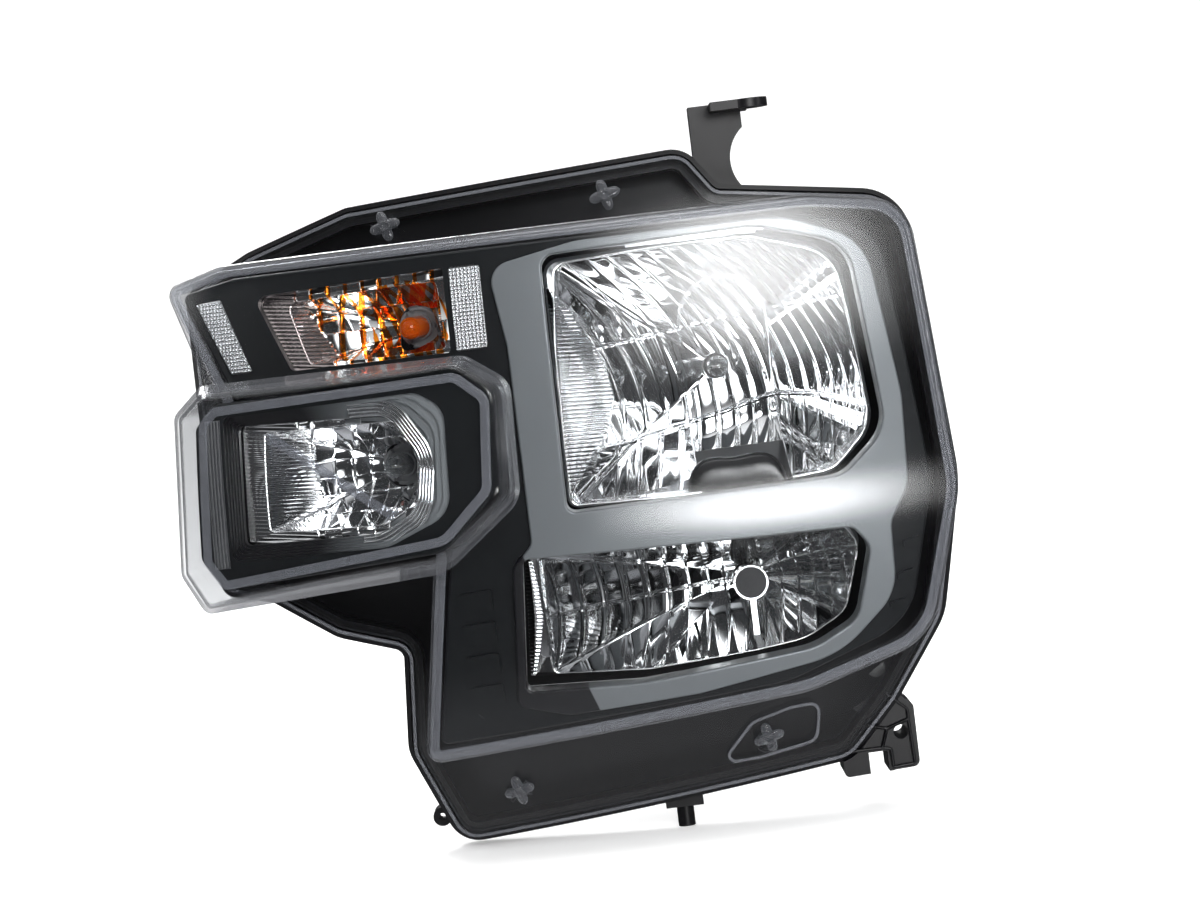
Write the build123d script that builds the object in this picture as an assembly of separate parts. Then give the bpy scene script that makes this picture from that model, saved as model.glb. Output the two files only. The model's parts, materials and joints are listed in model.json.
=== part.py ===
from build123d import *
import math
import os

# Car headlight assembly with a wrap-round corner, in millimetres.
# Modelling frame: +X inboard, +Y rearward, +Z up. Every optical layer is a slice
# between two spheres about one dome centre, so the lens and the bezels stay parallel.
# On export every node moves by -DATUM: the origin is the upper bracket's bolt hole.

# Datum and dome
DATUM = Vector(68, 12, 183)
DOME_Y = 630
CELL_TURN = -14.9
MAIN = Pos(0, DOME_Y, 0)
CELL = Pos(0, DOME_Y, 0) * Rot(0, 0, CELL_TURN)
LAYER_NEAR = 500
LAYER_DEPTH = 260

# Sphere radii of the layers, front to back
BULGE_R = 725
FACE_R = 700
SKIRT_R = 662
BOSS_R = 668
FOOT_R = 640
LEDGE_R = 654
LENS_WALL = 3
MARKER_BEZEL_R = 714
GREY_R = 688
BLACK_R = 684
BEZEL_WALL = 2.5
BEZEL_SKIRT_R = 668
REFLECTOR_RIM_R = 656
MOUTH_R = 652
GROOVE_R = 638
FLOOR_R = 633
SLAB_R = 630

# Glue channel round the lens foot
RIM_OUT = 4
RIM_IN = 7
GROOVE_OUT = 1.5
GROOVE_IN = 4.5
SEALANT_TOP_R = 646

# Lens wall lean on the outboard side
LEAN = 0.25
LEAN_Y = -2

# Deep rear box of the housing
REAR_Y = 100
HOUSING_WALL = 2.5

# Outlines are (x, z, corner radius), seen from the front
FOOT = [(-266, 112, 8), (-228, 130, 20), (-168, 148, 12), (26, 158, 14), (42, 135, 8),
        (146, 120, 26), (158, -42, 60), (142, -120, 34), (110, -166, 10), (82, -196, 20),
        (-146, -221, 14), (-168, -165, 20), (-162, -102, 10), (-202, -90, 20),
        (-238, -66, 10), (-266, -60, 5)]
FACE = [(-276, 118, 8), (-240, 127, 20), (90, 126, 80), (146, 117, 26), (156, -45, 50),
        (132, -128, 38), (60, -149, 80), (-159, -167, 8), (-138, -45, 8), (-245, 40, 8)]
BLACK = [(-267, 113, 4), (-235, 119, 20), (80, 118, 60), (129, 104, 30), (142, -40, 60),
         (122, -118, 40), (50, -143, 60), (-150, -158, 4), (-129, -45, 6), (-238, 42, 6)]
GREY = [(-90, 107, 12), (-40, 116, 60), (75, 116, 60), (120, 98, 32), (130, 10, 60),
        (128, -40, 18), (116, -60, 14), (115, -100, 30), (80, -131, 60), (-1, -143, 60),
        (-74, -147, 20), (-103, -139, 6), (-96, -60, 6), (-84, -48, 8), (-84, 62, 8)]
UPPER_WINDOW = [(-60, 110, 8), (60, 112, 40), (110, 97, 24), (119, -8, 24), (92, -31, 20), (-62, -33, 5)]
LOWER_WINDOW = [(-90, -56, 4), (94, -60, 8), (103, -72, 10), (92, -112, 16), (66, -125, 40),
                (-30, -133, 40), (-97, -131, 4)]
REAR = [(-98, 110, 16), (128, 110, 20), (140, -40, 40), (124, -112, 24), (70, -146, 20), (-98, -152, 16)]
CARRIER = [(-88, 100, 10), (118, 100, 16), (127, -40, 20), (108, -104, 16), (62, -134, 16), (-86, -140, 12)]

# Corner cell outlines, in the turned frame
BULGE_BASE = [(-79, 61, 6), (-97, 46, 8), (-105, -44, 8), (-93, -67, 7), (50, -57, 24),
              (96, -22, 18), (98, 44, 16), (74, 61, 14)]
BULGE_FRONT = [(-70, 50, 6), (-80, 41, 6), (-88, -38, 7), (-77, -55, 6), (58, -42, 18),
               (87, -15, 14), (92, 38, 12), (74, 54, 12)]
BULGE_FOOT = [(-72, 61, 6), (-92, 46, 8), (-96, -44, 8), (-82, -58, 7), (44, -57, 24),
              (88, -22, 18), (90, 44, 16), (68, 61, 14)]
MARKER_FRAME = [(-69, 50, 5), (-84, 38, 6), (-91, -36, 6), (-79, -54, 6), (54, -45, 20),
                (84, -17, 14), (88, 37, 12), (70, 50, 10)]
MARKER_OPENING = [(-66, 42, 4), (-71, -38, 4), (22, -39, 26), (60, -24, 18), (63, 34, 14), (48, 44, 12)]
MARKER_WINDOW = [(-62, 36, 3), (-67, -31, 3), (16, -32, 22), (38, -20, 16), (43, 8, 18), (28, 33, 14)]
TURN_WINDOW = [(-53, 107, 5), (60, 110, 2), (61, 63, 2), (-33, 63, 4)]
STRIP_INNER = [(63, 110, 2), (81, 110, 3), (82, 63, 3), (64, 63, 2)]
STRIP_OUTER = [(-90, 107, 2), (-74, 108, 2), (-57, 65, 2), (-71, 65, 2)]

# Bulb axes: x, z
UPPER_AXIS = (34, 35)
LOWER_AXIS = (37, -90)
TURN_AXIS = (33, 79)
MARKER_AXIS = (19, 3)

# Reflector dishes
DISH_SCALES = (1.0, 0.84, 0.66, 0.48, 0.3, 0.17)
REFLECTOR_WALL = 2.5
VERTEX_Y = 66
RIM_Y = -32
SEAT_Y = 78
NECK_R = 16.5
NECK_CAVITY_R = 14
NECK_LIP_R = 11.3
LIP_Y = 75

# Aim pivot and adjuster
PIVOT_Y = 45
PIVOT_Z = -45
PIVOT_X = (-77, 114)
ADJUSTER_X = -62
ADJUSTER_Z = 90
BALL_R = 5
BALL_GAP = 0.4
BALL_SOCKET_R = 7.5
ROD_R = 4
CARRIER_Y = (28, 31)

# Cell bulb ports: pad front, in the turned frame
TURN_PAD_Y = -627
MARKER_PAD_Y = -636
PAD_DEPTH = 8
PORT_R = 12

# Screws: shank and pilot radius, clearance hole radius
SCREW_R = 1.9
SCREW_HOLE_R = 2.1

# How far joined solids sink into each other, and how far cutters overshoot
SINK = 1
OVER = 5

# Lens: front edge rounding, depths of the loft sections, bosses on the skirt
FACE_ROUND = 7
BULGE_ROUND = 5
FACE_FRONT_Y = -90
FACE_BACK_Y = 70
BULGE_SECTIONS = ((-590, BULGE_FOOT), (-705, BULGE_BASE), (-735, BULGE_FRONT))
STAR_PLACES = ((-146, 138), (-20, 140), (-110, -193))
STAR_RIBS = 3
BOSS_NEAR = 560
ROUND_BOSS_AT = (34, -180)

# Housing: bulb ports, stud bosses, ribs, cell pads and their notches
PORT_OUTER_R = 33
PORT_INNER_R = 30
PORT_BACK_Y = 104
STUD_BOSS_Y = 62
STUD_R = 3
STUD_END_Y = 92
RIB_HALF = 1.25
REAR_RIBS_X = (-70, -40, -10, 20, 50, 80)
WING_RIBS_X = (-248, -224, -200, -176)
NOTCH_TURN = -45
NOTCH_R = 15.3
NOTCH_SPREAD = 32
RECESS_R = 16.5
PAD_R = 21
STUD_BOSS_R = 8
REAR_RIB_RISE = 3
CROSS_RIB_Z = (-30, -27.5)
REAR_RIBS_Z = (-52, -4)
WING_RIBS_Z = (-50, 100)
WING_RIB_DROP = 10

# Housing: fender pin, lower lug, corner ear, vents, screw bosses
PIN_AT = (-232, 78)
PIN_R = 4
PIN_FACE_Y = 64
PIN_END_Y = 78
LUG_AT = (-16, 24)
LUG_R = 5
LUG_TOP_Z = -216
LUG_END_Z = -228
CORNER_EAR_AT = (-158, -208)
VENTS = ((-76, -110), (100, 80))
VENT_R = 6
LOW_BOSSES = ((93, -170), (104, -150))
LOW_TAB_Y = (39.5, 43.5)
BEZEL_POSTS = ((-120, -92), (-122, -140))
TOP_SCREWS = ((43, 50), (60, 50))
REAR_TOP = 110
PIN_PAD_R = 8
LUG_PAD = (11, 7, 8)
EAR_TUBE = (5.5, 2.2)
EAR_TUBE_Y = (36, 50)
LOW_BOSS_R = 5.5
TOP_BOSS_R = 4.5
TOP_BOSS_LENGTH = 12

# Bezels
RIGHT_STEPS = ((131, -54), (127, -72), (122, -90), (116, -106))
LEFT_STEPS = (-72, -90, -108, -126)
MARKER_SKIRT_R = 676
RING_STEPS = 5
RING_DROP = 2.4
BEZEL_ROUND = 1.8
GREY_ROUND = 1.2
STEP_RISE = 1.6
WINDOW_LIP = 2
POST_R = 4.6
BOSS_WALL_R = 6.5

# Cell reflectors: depth of rim and vertex, radius of the sphere that trims the rim
CELL_DISH_WALL = 1.8
TURN_DISH = (-690, -640)
TURN_RIM_R = 679
MARKER_DISH = (-712, -657)
MARKER_RIM_R = 697

# Main reflectors: ears as (low x, high x), bulb shield, hood
EAR_Y = (24, 28)
UPPER_EARS = ((-44, -24), (84, 106))
LOWER_EARS = ((-70, -46), (76, 98))
SHIELD_Y = (8, 10, 19)
SHIELD_R = 10
HOOD_X = (4, 66)
HOOD_Y = (-24, 6)
HOOD_TOP = -24
WINDOW_MARGIN = 3
SHIELD_WALL = 1.2
SHIELD_POST_HALF = 1.6

# Main bulbs
PLUG_R = 10.9
PLUG_FRONT_Y = 62
LUG_BACK_Y = LIP_Y - 0.4
BULB_LUG_R = 13.5
FLANGE_Y = (79, 82)
FLANGE_R = 17
BODY_R = 13
ELBOW_Y = (111, 128)
ELBOW_HALF = 11
ELBOW_Z = (-32, 13)
SOCKET_WALL = 2.2
SOCKET_TOP_Z = -14
GLASS_R = 6
GLASS_TIP_Y = 34

# Cell bulbs, measured from the front of the pad
SOCKET_R = 11.6
TURN_REACH = 17
MARKER_REACH = 24
CELL_LUG_R = 14.8
CELL_FLANGE_R = 17
CELL_FLANGE_Y = (9, 12)
CELL_BACK_Y = 36
CELL_HALF = (10, 7.5)
CELL_CAVITY_Y = 22
WEDGE_R = 6.2
WEDGE_LENGTH = 22

# Rubber boots and adjuster
BOOT_LIP_R = 17
CASE_Y = (100, 122)
CASE_HALF = 15
CASE_CAVITY_R = 12
CASE_WALL = 4
WHEEL_R = 11
WHEEL_HUB_R = 6.5
WHEEL_Y = (106, 111)
CROWN_TEETH = 16
ROD_END_Y = 132
FLAT_Z = 3
CASE_EARS = ((-CASE_HALF - 5, 0), (CASE_HALF + 5, 0))

# Upper bracket
ARM_X = (34, 64)
ARM_Y = (25, 40)
ARM_WALL = 3
EAR_Z = (180.5, 185.5)
EAR_R = 11
BOLT_R = 3.5
FOOT_PLATE = 4
POCKETS_Z = ((115, 134), (138, 156), (160, 178))
WEB_X = (47.5, 50.5)
SCOOP_R = 24
SCOOP_AT = (79, 152)

# Lower bracket
LOW_PLATE = [(78, -188, 2), (106, -158, 3), (122, -172, 4), (122, -208, 4), (78, -210, 3)]
LOW_Y = (12, 43.5)
LOW_TAB = [(84, -184, 3), (84, -160, 3), (100, -138, 3), (114, -150, 3), (114, -184, 3)]
LOW_BOLT = (113, -187)
LOW_BOLT_R = 4.2
FORK_X = (93, 104)
FORK_TOP = -197
LOW_WALL = 3
LOW_RIBS_Z = (-178, -194)
LOW_RIB_HALF = 1


def outline(points):
    """Closed face through points (x, z, corner radius)."""
    count = len(points)
    starts = []
    ends = []
    edges = []
    for i, (x, z, radius) in enumerate(points):
        corner = Vector(x, z)
        back = (Vector(*points[i - 1][:2]) - corner).normalized()
        ahead = (Vector(*points[(i + 1) % count][:2]) - corner).normalized()
        half = math.radians(back.get_angle(ahead) / 2)
        trim = radius / math.tan(half)
        middle = corner + (back + ahead).normalized() * (radius / math.sin(half) - radius)
        starts.append(corner + back * trim)
        ends.append(corner + ahead * trim)
        edges.append(ThreePointArc(starts[-1], middle, ends[-1]))
    for i in range(count):
        edges.append(Line(ends[i - 1], starts[i]))
    return make_face(edges)


def grown(points, distance):
    """The outline moved outward by distance, or inward if it is negative."""
    count = len(points)
    pairs = [(points[i - 1], points[i]) for i in range(count)]
    clockwise = sum(a[0] * b[1] - b[0] * a[1] for a, b in pairs) < 0
    side = 1 if clockwise else -1
    result = []
    for i, (x, z, radius) in enumerate(points):
        arrive = (Vector(x, z) - Vector(*points[i - 1][:2])).normalized()
        leave = (Vector(*points[(i + 1) % count][:2]) - Vector(x, z)).normalized()
        normal_a = Vector(-arrive.Y, arrive.X) * side
        normal_b = Vector(-leave.Y, leave.X) * side
        move = (normal_a + normal_b) * (distance / (1 + normal_a.dot(normal_b)))
        convex = (arrive.X * leave.Y - arrive.Y * leave.X < 0) == clockwise
        new_radius = radius + (distance if convex else -distance)
        result.append((x + move.X, z + move.Y, max(new_radius, 0.5)))
    return result


def scaled(points, axis, factor):
    """The outline scaled about the axis point."""
    x0, z0 = axis
    return [(x0 + (x - x0) * factor, z0 + (z - z0) * factor, radius * factor) for x, z, radius in points]


def leaned(points, y):
    """The face outline at depth y: its outboard side draws inboard towards the rear."""
    return [(x + (LEAN * (y - LEAN_Y) if x < -200 else 0), z, radius) for x, z, radius in points]


def at_depth(face, y):
    """A face of (x, z) placed upright at depth y."""
    return Plane.XZ.offset(-y) * face


def prism(points, front, back):
    """Solid of the outline from depth front to depth back."""
    return extrude(at_depth(outline(points), back), back - front)


def shell(front, back):
    return Sphere(front) - Sphere(back)


def dome_layer(points, front, back, frame=MAIN):
    """The outline's prism between two spheres about the dome centre."""
    block = extrude(at_depth(outline(points), -LAYER_NEAR), LAYER_DEPTH)
    return frame * (block & shell(front, back))


def dome_ring(outer, inner, front, back, frame=MAIN):
    """As dome_layer, for the band between two outlines."""
    face = outline(outer) - outline(inner)
    block = extrude(at_depth(face, -LAYER_NEAR), LAYER_DEPTH)
    return frame * (block & shell(front, back))


def rod(radius, front, back, at=(0, 0)):
    """Cylinder along Y."""
    return Pos(at[0], (front + back) / 2, at[1]) * Rot(90, 0, 0) * Cylinder(radius, back - front)


def tube(outer, inner, front, back, at=(0, 0)):
    return rod(outer, front, back, at) - rod(inner, front - 1, back + 1, at)


def block(x, y, z):
    """Box between two limits on each axis."""
    centre = Pos(sum(x) / 2, sum(y) / 2, sum(z) / 2)
    return centre * Box(x[1] - x[0], y[1] - y[0], z[1] - z[0])


def dish(points, axis, rim, vertex):
    """Solid bowl: the outline shrinks about the axis as a parabola towards the vertex."""
    sections = []
    for factor in DISH_SCALES:
        y = vertex + (rim - vertex) * factor ** 2
        sections.append(at_depth(outline(scaled(points, axis, factor)), y))
    return loft(sections, ruled=True)


def sector(inner, outer, front, back, centre_angle, spread):
    """Part of a ring about Y, spread degrees wide."""
    ring = tube(outer, inner, front, back)
    reach = outer * 2
    half = math.radians(spread / 2)
    wedge = Polygon((0, 0), (reach, -reach * math.tan(half)), (reach, reach * math.tan(half)), align=None)
    cut = extrude(at_depth(wedge, back + 1), back - front + 2)
    return Rot(0, -centre_angle, 0) * (ring & cut)


def screw(length, head_r=3.6, shank_r=SCREW_R, head=2.4):
    """Pan head screw: the head's underside is at z = 0 and the shank points down."""
    body = Pos(0, 0, head / 2) * Cylinder(head_r, head)
    body = fillet(body.edges().sort_by(Axis.Z)[-1], head * 0.45)
    body += Pos(0, 0, -length / 2) * Cylinder(shank_r, length)
    for angle in (0, 90):
        body -= Pos(0, 0, head) * Rot(0, 0, angle) * Box(head_r * 1.1, 0.9, 1.6)
    return body


def edges_on_sphere(shape, radius):
    """Edges that lie on a sphere about the frame's origin."""
    found = []
    for edge in shape.edges():
        middle = edge @ 0.5
        end = edge @ 0.0
        if abs(middle.length - radius) < 0.01 and abs(end.length - radius) < 0.01:
            found.append(edge)
    return found


# ---------------------------------------------------------------- outer lens


def face_body(inset, rounding):
    """Main raised part of the lens, cut to its sphere, with a rounded front edge."""
    back = at_depth(outline(grown(leaned(FACE, FACE_BACK_Y), -inset)), FACE_BACK_Y)
    front = at_depth(outline(grown(leaned(FACE, FACE_FRONT_Y), -inset)), FACE_FRONT_Y)
    body = MAIN.inverse() * loft([back, front], ruled=True)
    body = body & shell(FACE_R - inset, LEDGE_R + inset)
    return MAIN * fillet(edges_on_sphere(body, FACE_R - inset), rounding)


def bulge_body(inset, rounding):
    """Corner bulge: tapered walls in front, drawn in towards the foot behind."""
    sections = [at_depth(outline(grown(points, -inset)), y) for y, points in BULGE_SECTIONS]
    body = loft(sections, ruled=True) & shell(BULGE_R - inset, LEDGE_R + inset)
    return CELL * fillet(edges_on_sphere(body, BULGE_R - inset), rounding)


def lens_body(inset):
    body = dome_layer(grown(FOOT, -inset), SKIRT_R - inset, SLAB_R)
    body += face_body(inset, FACE_ROUND - inset)
    body += bulge_body(inset, BULGE_ROUND - inset)
    return body


def star_boss(x, z):
    """Six pointed moulded boss on the lens skirt."""
    boss = rod(2.6, -BOSS_R, -BOSS_NEAR, (x, z))
    for i in range(STAR_RIBS):
        rib = block((-7.5, 7.5), (-BOSS_R, -BOSS_NEAR), (-0.9, 0.9))
        boss += Pos(x, 0, z) * Rot(0, i * 180 / STAR_RIBS + 12, 0) * rib
    return MAIN * (boss & shell(BOSS_R, SKIRT_R - LENS_WALL / 2))


def lens():
    body = lens_body(0) - lens_body(LENS_WALL)
    body -= MAIN * Sphere(FOOT_R)
    for x, z in STAR_PLACES:
        body += star_boss(x, z)
    ring = tube(6, 4.2, -BOSS_R, -BOSS_NEAR, ROUND_BOSS_AT) & shell(BOSS_R, SKIRT_R - LENS_WALL / 2)
    return body + MAIN * ring


def lens_sealant():
    bead = dome_ring(grown(FOOT, GROOVE_OUT), grown(FOOT, -GROOVE_IN), SEALANT_TOP_R, GROOVE_R)
    return bead - dome_ring(FOOT, grown(FOOT, -LENS_WALL), SEALANT_TOP_R + 5, FOOT_R)


# ---------------------------------------------------------------- housing


def sphere_y(radius, x, z):
    """Depth at which the dome sphere crosses (x, z)."""
    return DOME_Y - math.sqrt(radius ** 2 - x ** 2 - z ** 2)


def rib_outline(x, low, high):
    left = x - RIB_HALF
    right = x + RIB_HALF
    return [(left, high, 0.5), (right, high, 0.5), (right, low, 0.5), (left, low, 0.5)]


def cell_hole(pad_y, axis):
    """Round hole with three notches that let the socket's lugs through."""
    front = pad_y - 5
    back = pad_y + PAD_DEPTH + 5
    hole = rod(PORT_R, front, back) + rod(RECESS_R, front - 5, pad_y)
    for i in range(3):
        hole += sector(PORT_R - 1, NOTCH_R, front, back, i * 120 + NOTCH_TURN, NOTCH_SPREAD)
    return CELL * Pos(axis[0], 0, axis[1]) * hole


def housing():
    body = dome_layer(grown(FOOT, RIM_OUT), MOUTH_R, SLAB_R)
    body -= dome_layer(grown(FOOT, -RIM_IN), MOUTH_R + OVER, FLOOR_R)
    body += prism(REAR, -10, REAR_Y) & (MAIN * Sphere(FLOOR_R - 1))
    for x in WING_RIBS_X:
        body += dome_layer(rib_outline(x, *WING_RIBS_Z), SLAB_R + SINK, SLAB_R - WING_RIB_DROP)
    for pad_y, axis in ((TURN_PAD_Y, TURN_AXIS), (MARKER_PAD_Y, MARKER_AXIS)):
        body += CELL * rod(PAD_R, pad_y, pad_y + PAD_DEPTH, axis)
    for x, z in BEZEL_POSTS:
        body += rod(BOSS_WALL_R, sphere_y(FLOOR_R, x, z) - 3, sphere_y(SLAB_R, x, z) + 4, (x, z))
    for x, z in LOW_BOSSES:
        body += rod(LOW_BOSS_R, sphere_y(FLOOR_R, x, z), LOW_TAB_Y[0], (x, z))
    body -= prism(grown(REAR, -HOUSING_WALL), -60, REAR_Y - HOUSING_WALL)
    for pad_y, axis in ((TURN_PAD_Y, TURN_AXIS), (MARKER_PAD_Y, MARKER_AXIS)):
        body -= cell_hole(pad_y, axis)
    for x, z in BEZEL_POSTS:
        body -= rod(2, sphere_y(FLOOR_R, x, z) - OVER, sphere_y(SLAB_R, x, z) + OVER, (x, z))
    for x, z in LOW_BOSSES:
        body -= rod(SCREW_R, sphere_y(FLOOR_R, x, z) + 2, LOW_TAB_Y[0] + SINK, (x, z))
    for axis in (UPPER_AXIS, LOWER_AXIS):
        body -= rod(PORT_INNER_R, REAR_Y - OVER, REAR_Y + OVER, axis)
        body += tube(PORT_OUTER_R, PORT_INNER_R, REAR_Y - HOUSING_WALL, PORT_BACK_Y, axis)
    for x in PIVOT_X:
        body += tube(STUD_BOSS_R, STUD_R, STUD_BOSS_Y, REAR_Y - SINK, (x, PIVOT_Z))
    body -= rod(ROD_R + 1.5, REAR_Y - OVER, REAR_Y + OVER, (ADJUSTER_X, ADJUSTER_Z))
    for x, z in CASE_EARS:
        at = (ADJUSTER_X + x, ADJUSTER_Z + z)
        body += rod(4.5, REAR_Y - 9, REAR_Y - SINK, at)
        body -= rod(SCREW_R, REAR_Y - 8, REAR_Y + SINK, at)
    for x in REAR_RIBS_X:
        body += block((x - RIB_HALF, x + RIB_HALF), (REAR_Y - SINK, REAR_Y + REAR_RIB_RISE), REAR_RIBS_Z)
    body += block((REAR_RIBS_X[0], REAR_RIBS_X[-1]), (REAR_Y - SINK, REAR_Y + REAR_RIB_RISE), CROSS_RIB_Z)
    for at in VENTS:
        body += rod(VENT_R, REAR_Y - SINK, REAR_Y + 8, at)
        body -= rod(VENT_R - 2, REAR_Y - OVER, REAR_Y + 9, at)
    for x, y in TOP_SCREWS:
        body += Pos(x, y, REAR_TOP - SINK - TOP_BOSS_LENGTH / 2) * Cylinder(TOP_BOSS_R, TOP_BOSS_LENGTH)
        body -= Pos(x, y, REAR_TOP - TOP_BOSS_LENGTH / 2) * Cylinder(SCREW_R, TOP_BOSS_LENGTH + 0.2)
    body += rod(PIN_PAD_R, PIN_FACE_Y - 20, PIN_FACE_Y, PIN_AT) & (MAIN * Sphere(SLAB_R + SINK))
    body += rod(PIN_R, PIN_FACE_Y - SINK, PIN_END_Y, PIN_AT)
    lug_x, lug_y = LUG_AT
    half_x, half_y, height = LUG_PAD
    body += Pos(lug_x, lug_y, LUG_TOP_Z + height / 2) * Box(half_x * 2, half_y * 2, height)
    lug_length = LUG_TOP_Z + 2 * SINK - LUG_END_Z
    body += Pos(lug_x, lug_y, LUG_END_Z + lug_length / 2) * Cylinder(LUG_R, lug_length)
    body += tube(*EAR_TUBE, *EAR_TUBE_Y, CORNER_EAR_AT)
    body -= dome_ring(grown(FOOT, GROOVE_OUT), grown(FOOT, -GROOVE_IN), MOUTH_R + OVER, GROOVE_R)
    return body


# ---------------------------------------------------------------- bezels
def mixed(first, second, part):
    """Outline part of the way from the first to the second."""
    return [tuple(a + (b - a) * part for a, b in zip(p, q)) for p, q in zip(first, second)]


def rounded_layer(points, front, back, rounding, frame=MAIN):
    """As dome_layer, with the edge on the front sphere rounded."""
    body = dome_layer(points, front, back, Pos(0, 0, 0))
    return frame * fillet(edges_on_sphere(body, front), rounding)


def left_step(z):
    return [(-128, z, 1.5), (-110, z + 1, 1.5), (-110, z - 11, 1.5), (-130, z - 12, 1.5)]


def right_step(x, z):
    return [(x - 5, z, 0.5), (x + 4, z + 2, 0.5), (x + 4, z - 1.5, 0.5), (x - 5, z - 3.5, 0.5)]


def black_bezel():
    body = rounded_layer(BLACK, BLACK_R, BLACK_R - BEZEL_WALL, BEZEL_ROUND)
    skirt_inset = BEZEL_ROUND + 1.7
    skirt = grown(BLACK, -skirt_inset)
    body += dome_ring(skirt, grown(skirt, -BEZEL_WALL), BLACK_R - SINK, BEZEL_SKIRT_R)
    steps = [left_step(z) for z in LEFT_STEPS] + [right_step(x, z) for x, z in RIGHT_STEPS]
    for step in steps:
        body += dome_layer(step, BLACK_R + STEP_RISE, BLACK_R - SINK)
    for window in (UPPER_WINDOW, LOWER_WINDOW):
        body -= dome_layer(grown(window, WINDOW_LIP + 2), BLACK_R + OVER, FLOOR_R)
    body += dome_ring(grown(TURN_WINDOW, WINDOW_LIP), TURN_WINDOW, BLACK_R - SINK, BLACK_R - 4.5, CELL)
    for window in (TURN_WINDOW, STRIP_INNER, STRIP_OUTER):
        body -= dome_layer(window, BLACK_R + OVER, FLOOR_R, CELL)
    body -= dome_layer(grown(MARKER_FRAME, 1), BULGE_R, FLOOR_R, CELL)
    for x, z in BEZEL_POSTS:
        front = sphere_y(BLACK_R - SINK, x, z)
        body += tube(POST_R, SCREW_R, front, sphere_y(FLOOR_R, x, z) - 3, (x, z))
        body += rod(POST_R, front - 0.5, front + 3, (x, z)) & (MAIN * Sphere(BLACK_R))
    return body


def grey_bezel():
    face = outline(GREY) - outline(UPPER_WINDOW) - outline(LOWER_WINDOW)
    body = extrude(at_depth(face, -LAYER_NEAR), LAYER_DEPTH) & shell(GREY_R, BLACK_R)
    body = MAIN * fillet(edges_on_sphere(body, GREY_R), GREY_ROUND)
    for window in (UPPER_WINDOW, LOWER_WINDOW):
        body += dome_ring(grown(window, WINDOW_LIP), window, GREY_R - GREY_ROUND - 0.3, BEZEL_SKIRT_R)
    return body


def marker_bezel():
    body = rounded_layer(MARKER_FRAME, MARKER_BEZEL_R, MARKER_BEZEL_R - BEZEL_WALL, BEZEL_ROUND, CELL)
    skirt_top = MARKER_BEZEL_R - BEZEL_WALL + 0.4
    body += dome_ring(MARKER_FRAME, grown(MARKER_FRAME, -BEZEL_WALL), skirt_top, MARKER_SKIRT_R, CELL)
    return body - dome_layer(MARKER_OPENING, MARKER_BEZEL_R + OVER, FACE_R, CELL)


def marker_ring():
    """Funnel of steps from the corner bezel's opening down to the marker reflector."""
    body = Part()
    for i in range(RING_STEPS):
        outer = mixed(MARKER_OPENING, MARKER_WINDOW, i / RING_STEPS)
        inner = mixed(MARKER_OPENING, MARKER_WINDOW, (i + 1) / RING_STEPS)
        front = MARKER_BEZEL_R - BEZEL_WALL - i * RING_DROP
        body += dome_ring(outer, inner, front, front - RING_DROP - 1, CELL)
    return body


def reflex_strip(points):
    return dome_layer(grown(points, -0.2), BLACK_R - 0.6, BLACK_R - 3.2, CELL)


# ---------------------------------------------------------------- reflectors


def dish_shell(points, axis, rim, vertex, wall):
    return dish(grown(points, wall), axis, rim, vertex + wall) - dish(points, axis, rim, vertex)


def cell_reflector(points, axis, dish_y, rim_radius):
    body = dish_shell(grown(points, 1), axis, dish_y[0], dish_y[1], CELL_DISH_WALL)
    body -= rod(NOTCH_R, dish_y[1] - 30, dish_y[1] + 10, axis)
    return CELL * (body & Sphere(rim_radius))


def main_reflector(points, axis, ears):
    """Dish with its bulb neck and the ears that rest on the carrier."""
    opening = grown(points, WINDOW_MARGIN)
    body = dish(grown(opening, REFLECTOR_WALL), axis, RIM_Y, VERTEX_Y + REFLECTOR_WALL)
    body = body & (MAIN * Sphere(REFLECTOR_RIM_R))
    for low, high in ears:
        body += block((low, high), EAR_Y, (axis[1] - 6, axis[1] + 6))
    body += rod(NECK_R, VERTEX_Y - 12, SEAT_Y, axis)
    body -= dish(opening, axis, RIM_Y, VERTEX_Y)
    body -= rod(NECK_CAVITY_R, VERTEX_Y - 16, LIP_Y, axis)
    body -= rod(NECK_LIP_R, VERTEX_Y, SEAT_Y + 1, axis)
    for i in range(3):
        notch = sector(NECK_LIP_R - 1, NECK_CAVITY_R - 0.1, LIP_Y - 1, SEAT_Y + 1, i * 120 + NOTCH_TURN, 28)
        body -= Pos(axis[0], 0, axis[1]) * notch
    for low, high in ears:
        body -= rod(SCREW_R, EAR_Y[0] - SINK, EAR_Y[1] + SINK, (ear_screw_x(low, high, axis), axis[1]))
    return body


def ear_screw_x(low, high, axis):
    """The screw sits 6 mm in from the ear's outer end."""
    return low + 6 if high < axis[0] else high - 6


def dish_factor(y):
    """Scale of the dish outline at depth y."""
    return math.sqrt((VERTEX_Y - y) / (VERTEX_Y - RIM_Y))


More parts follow.
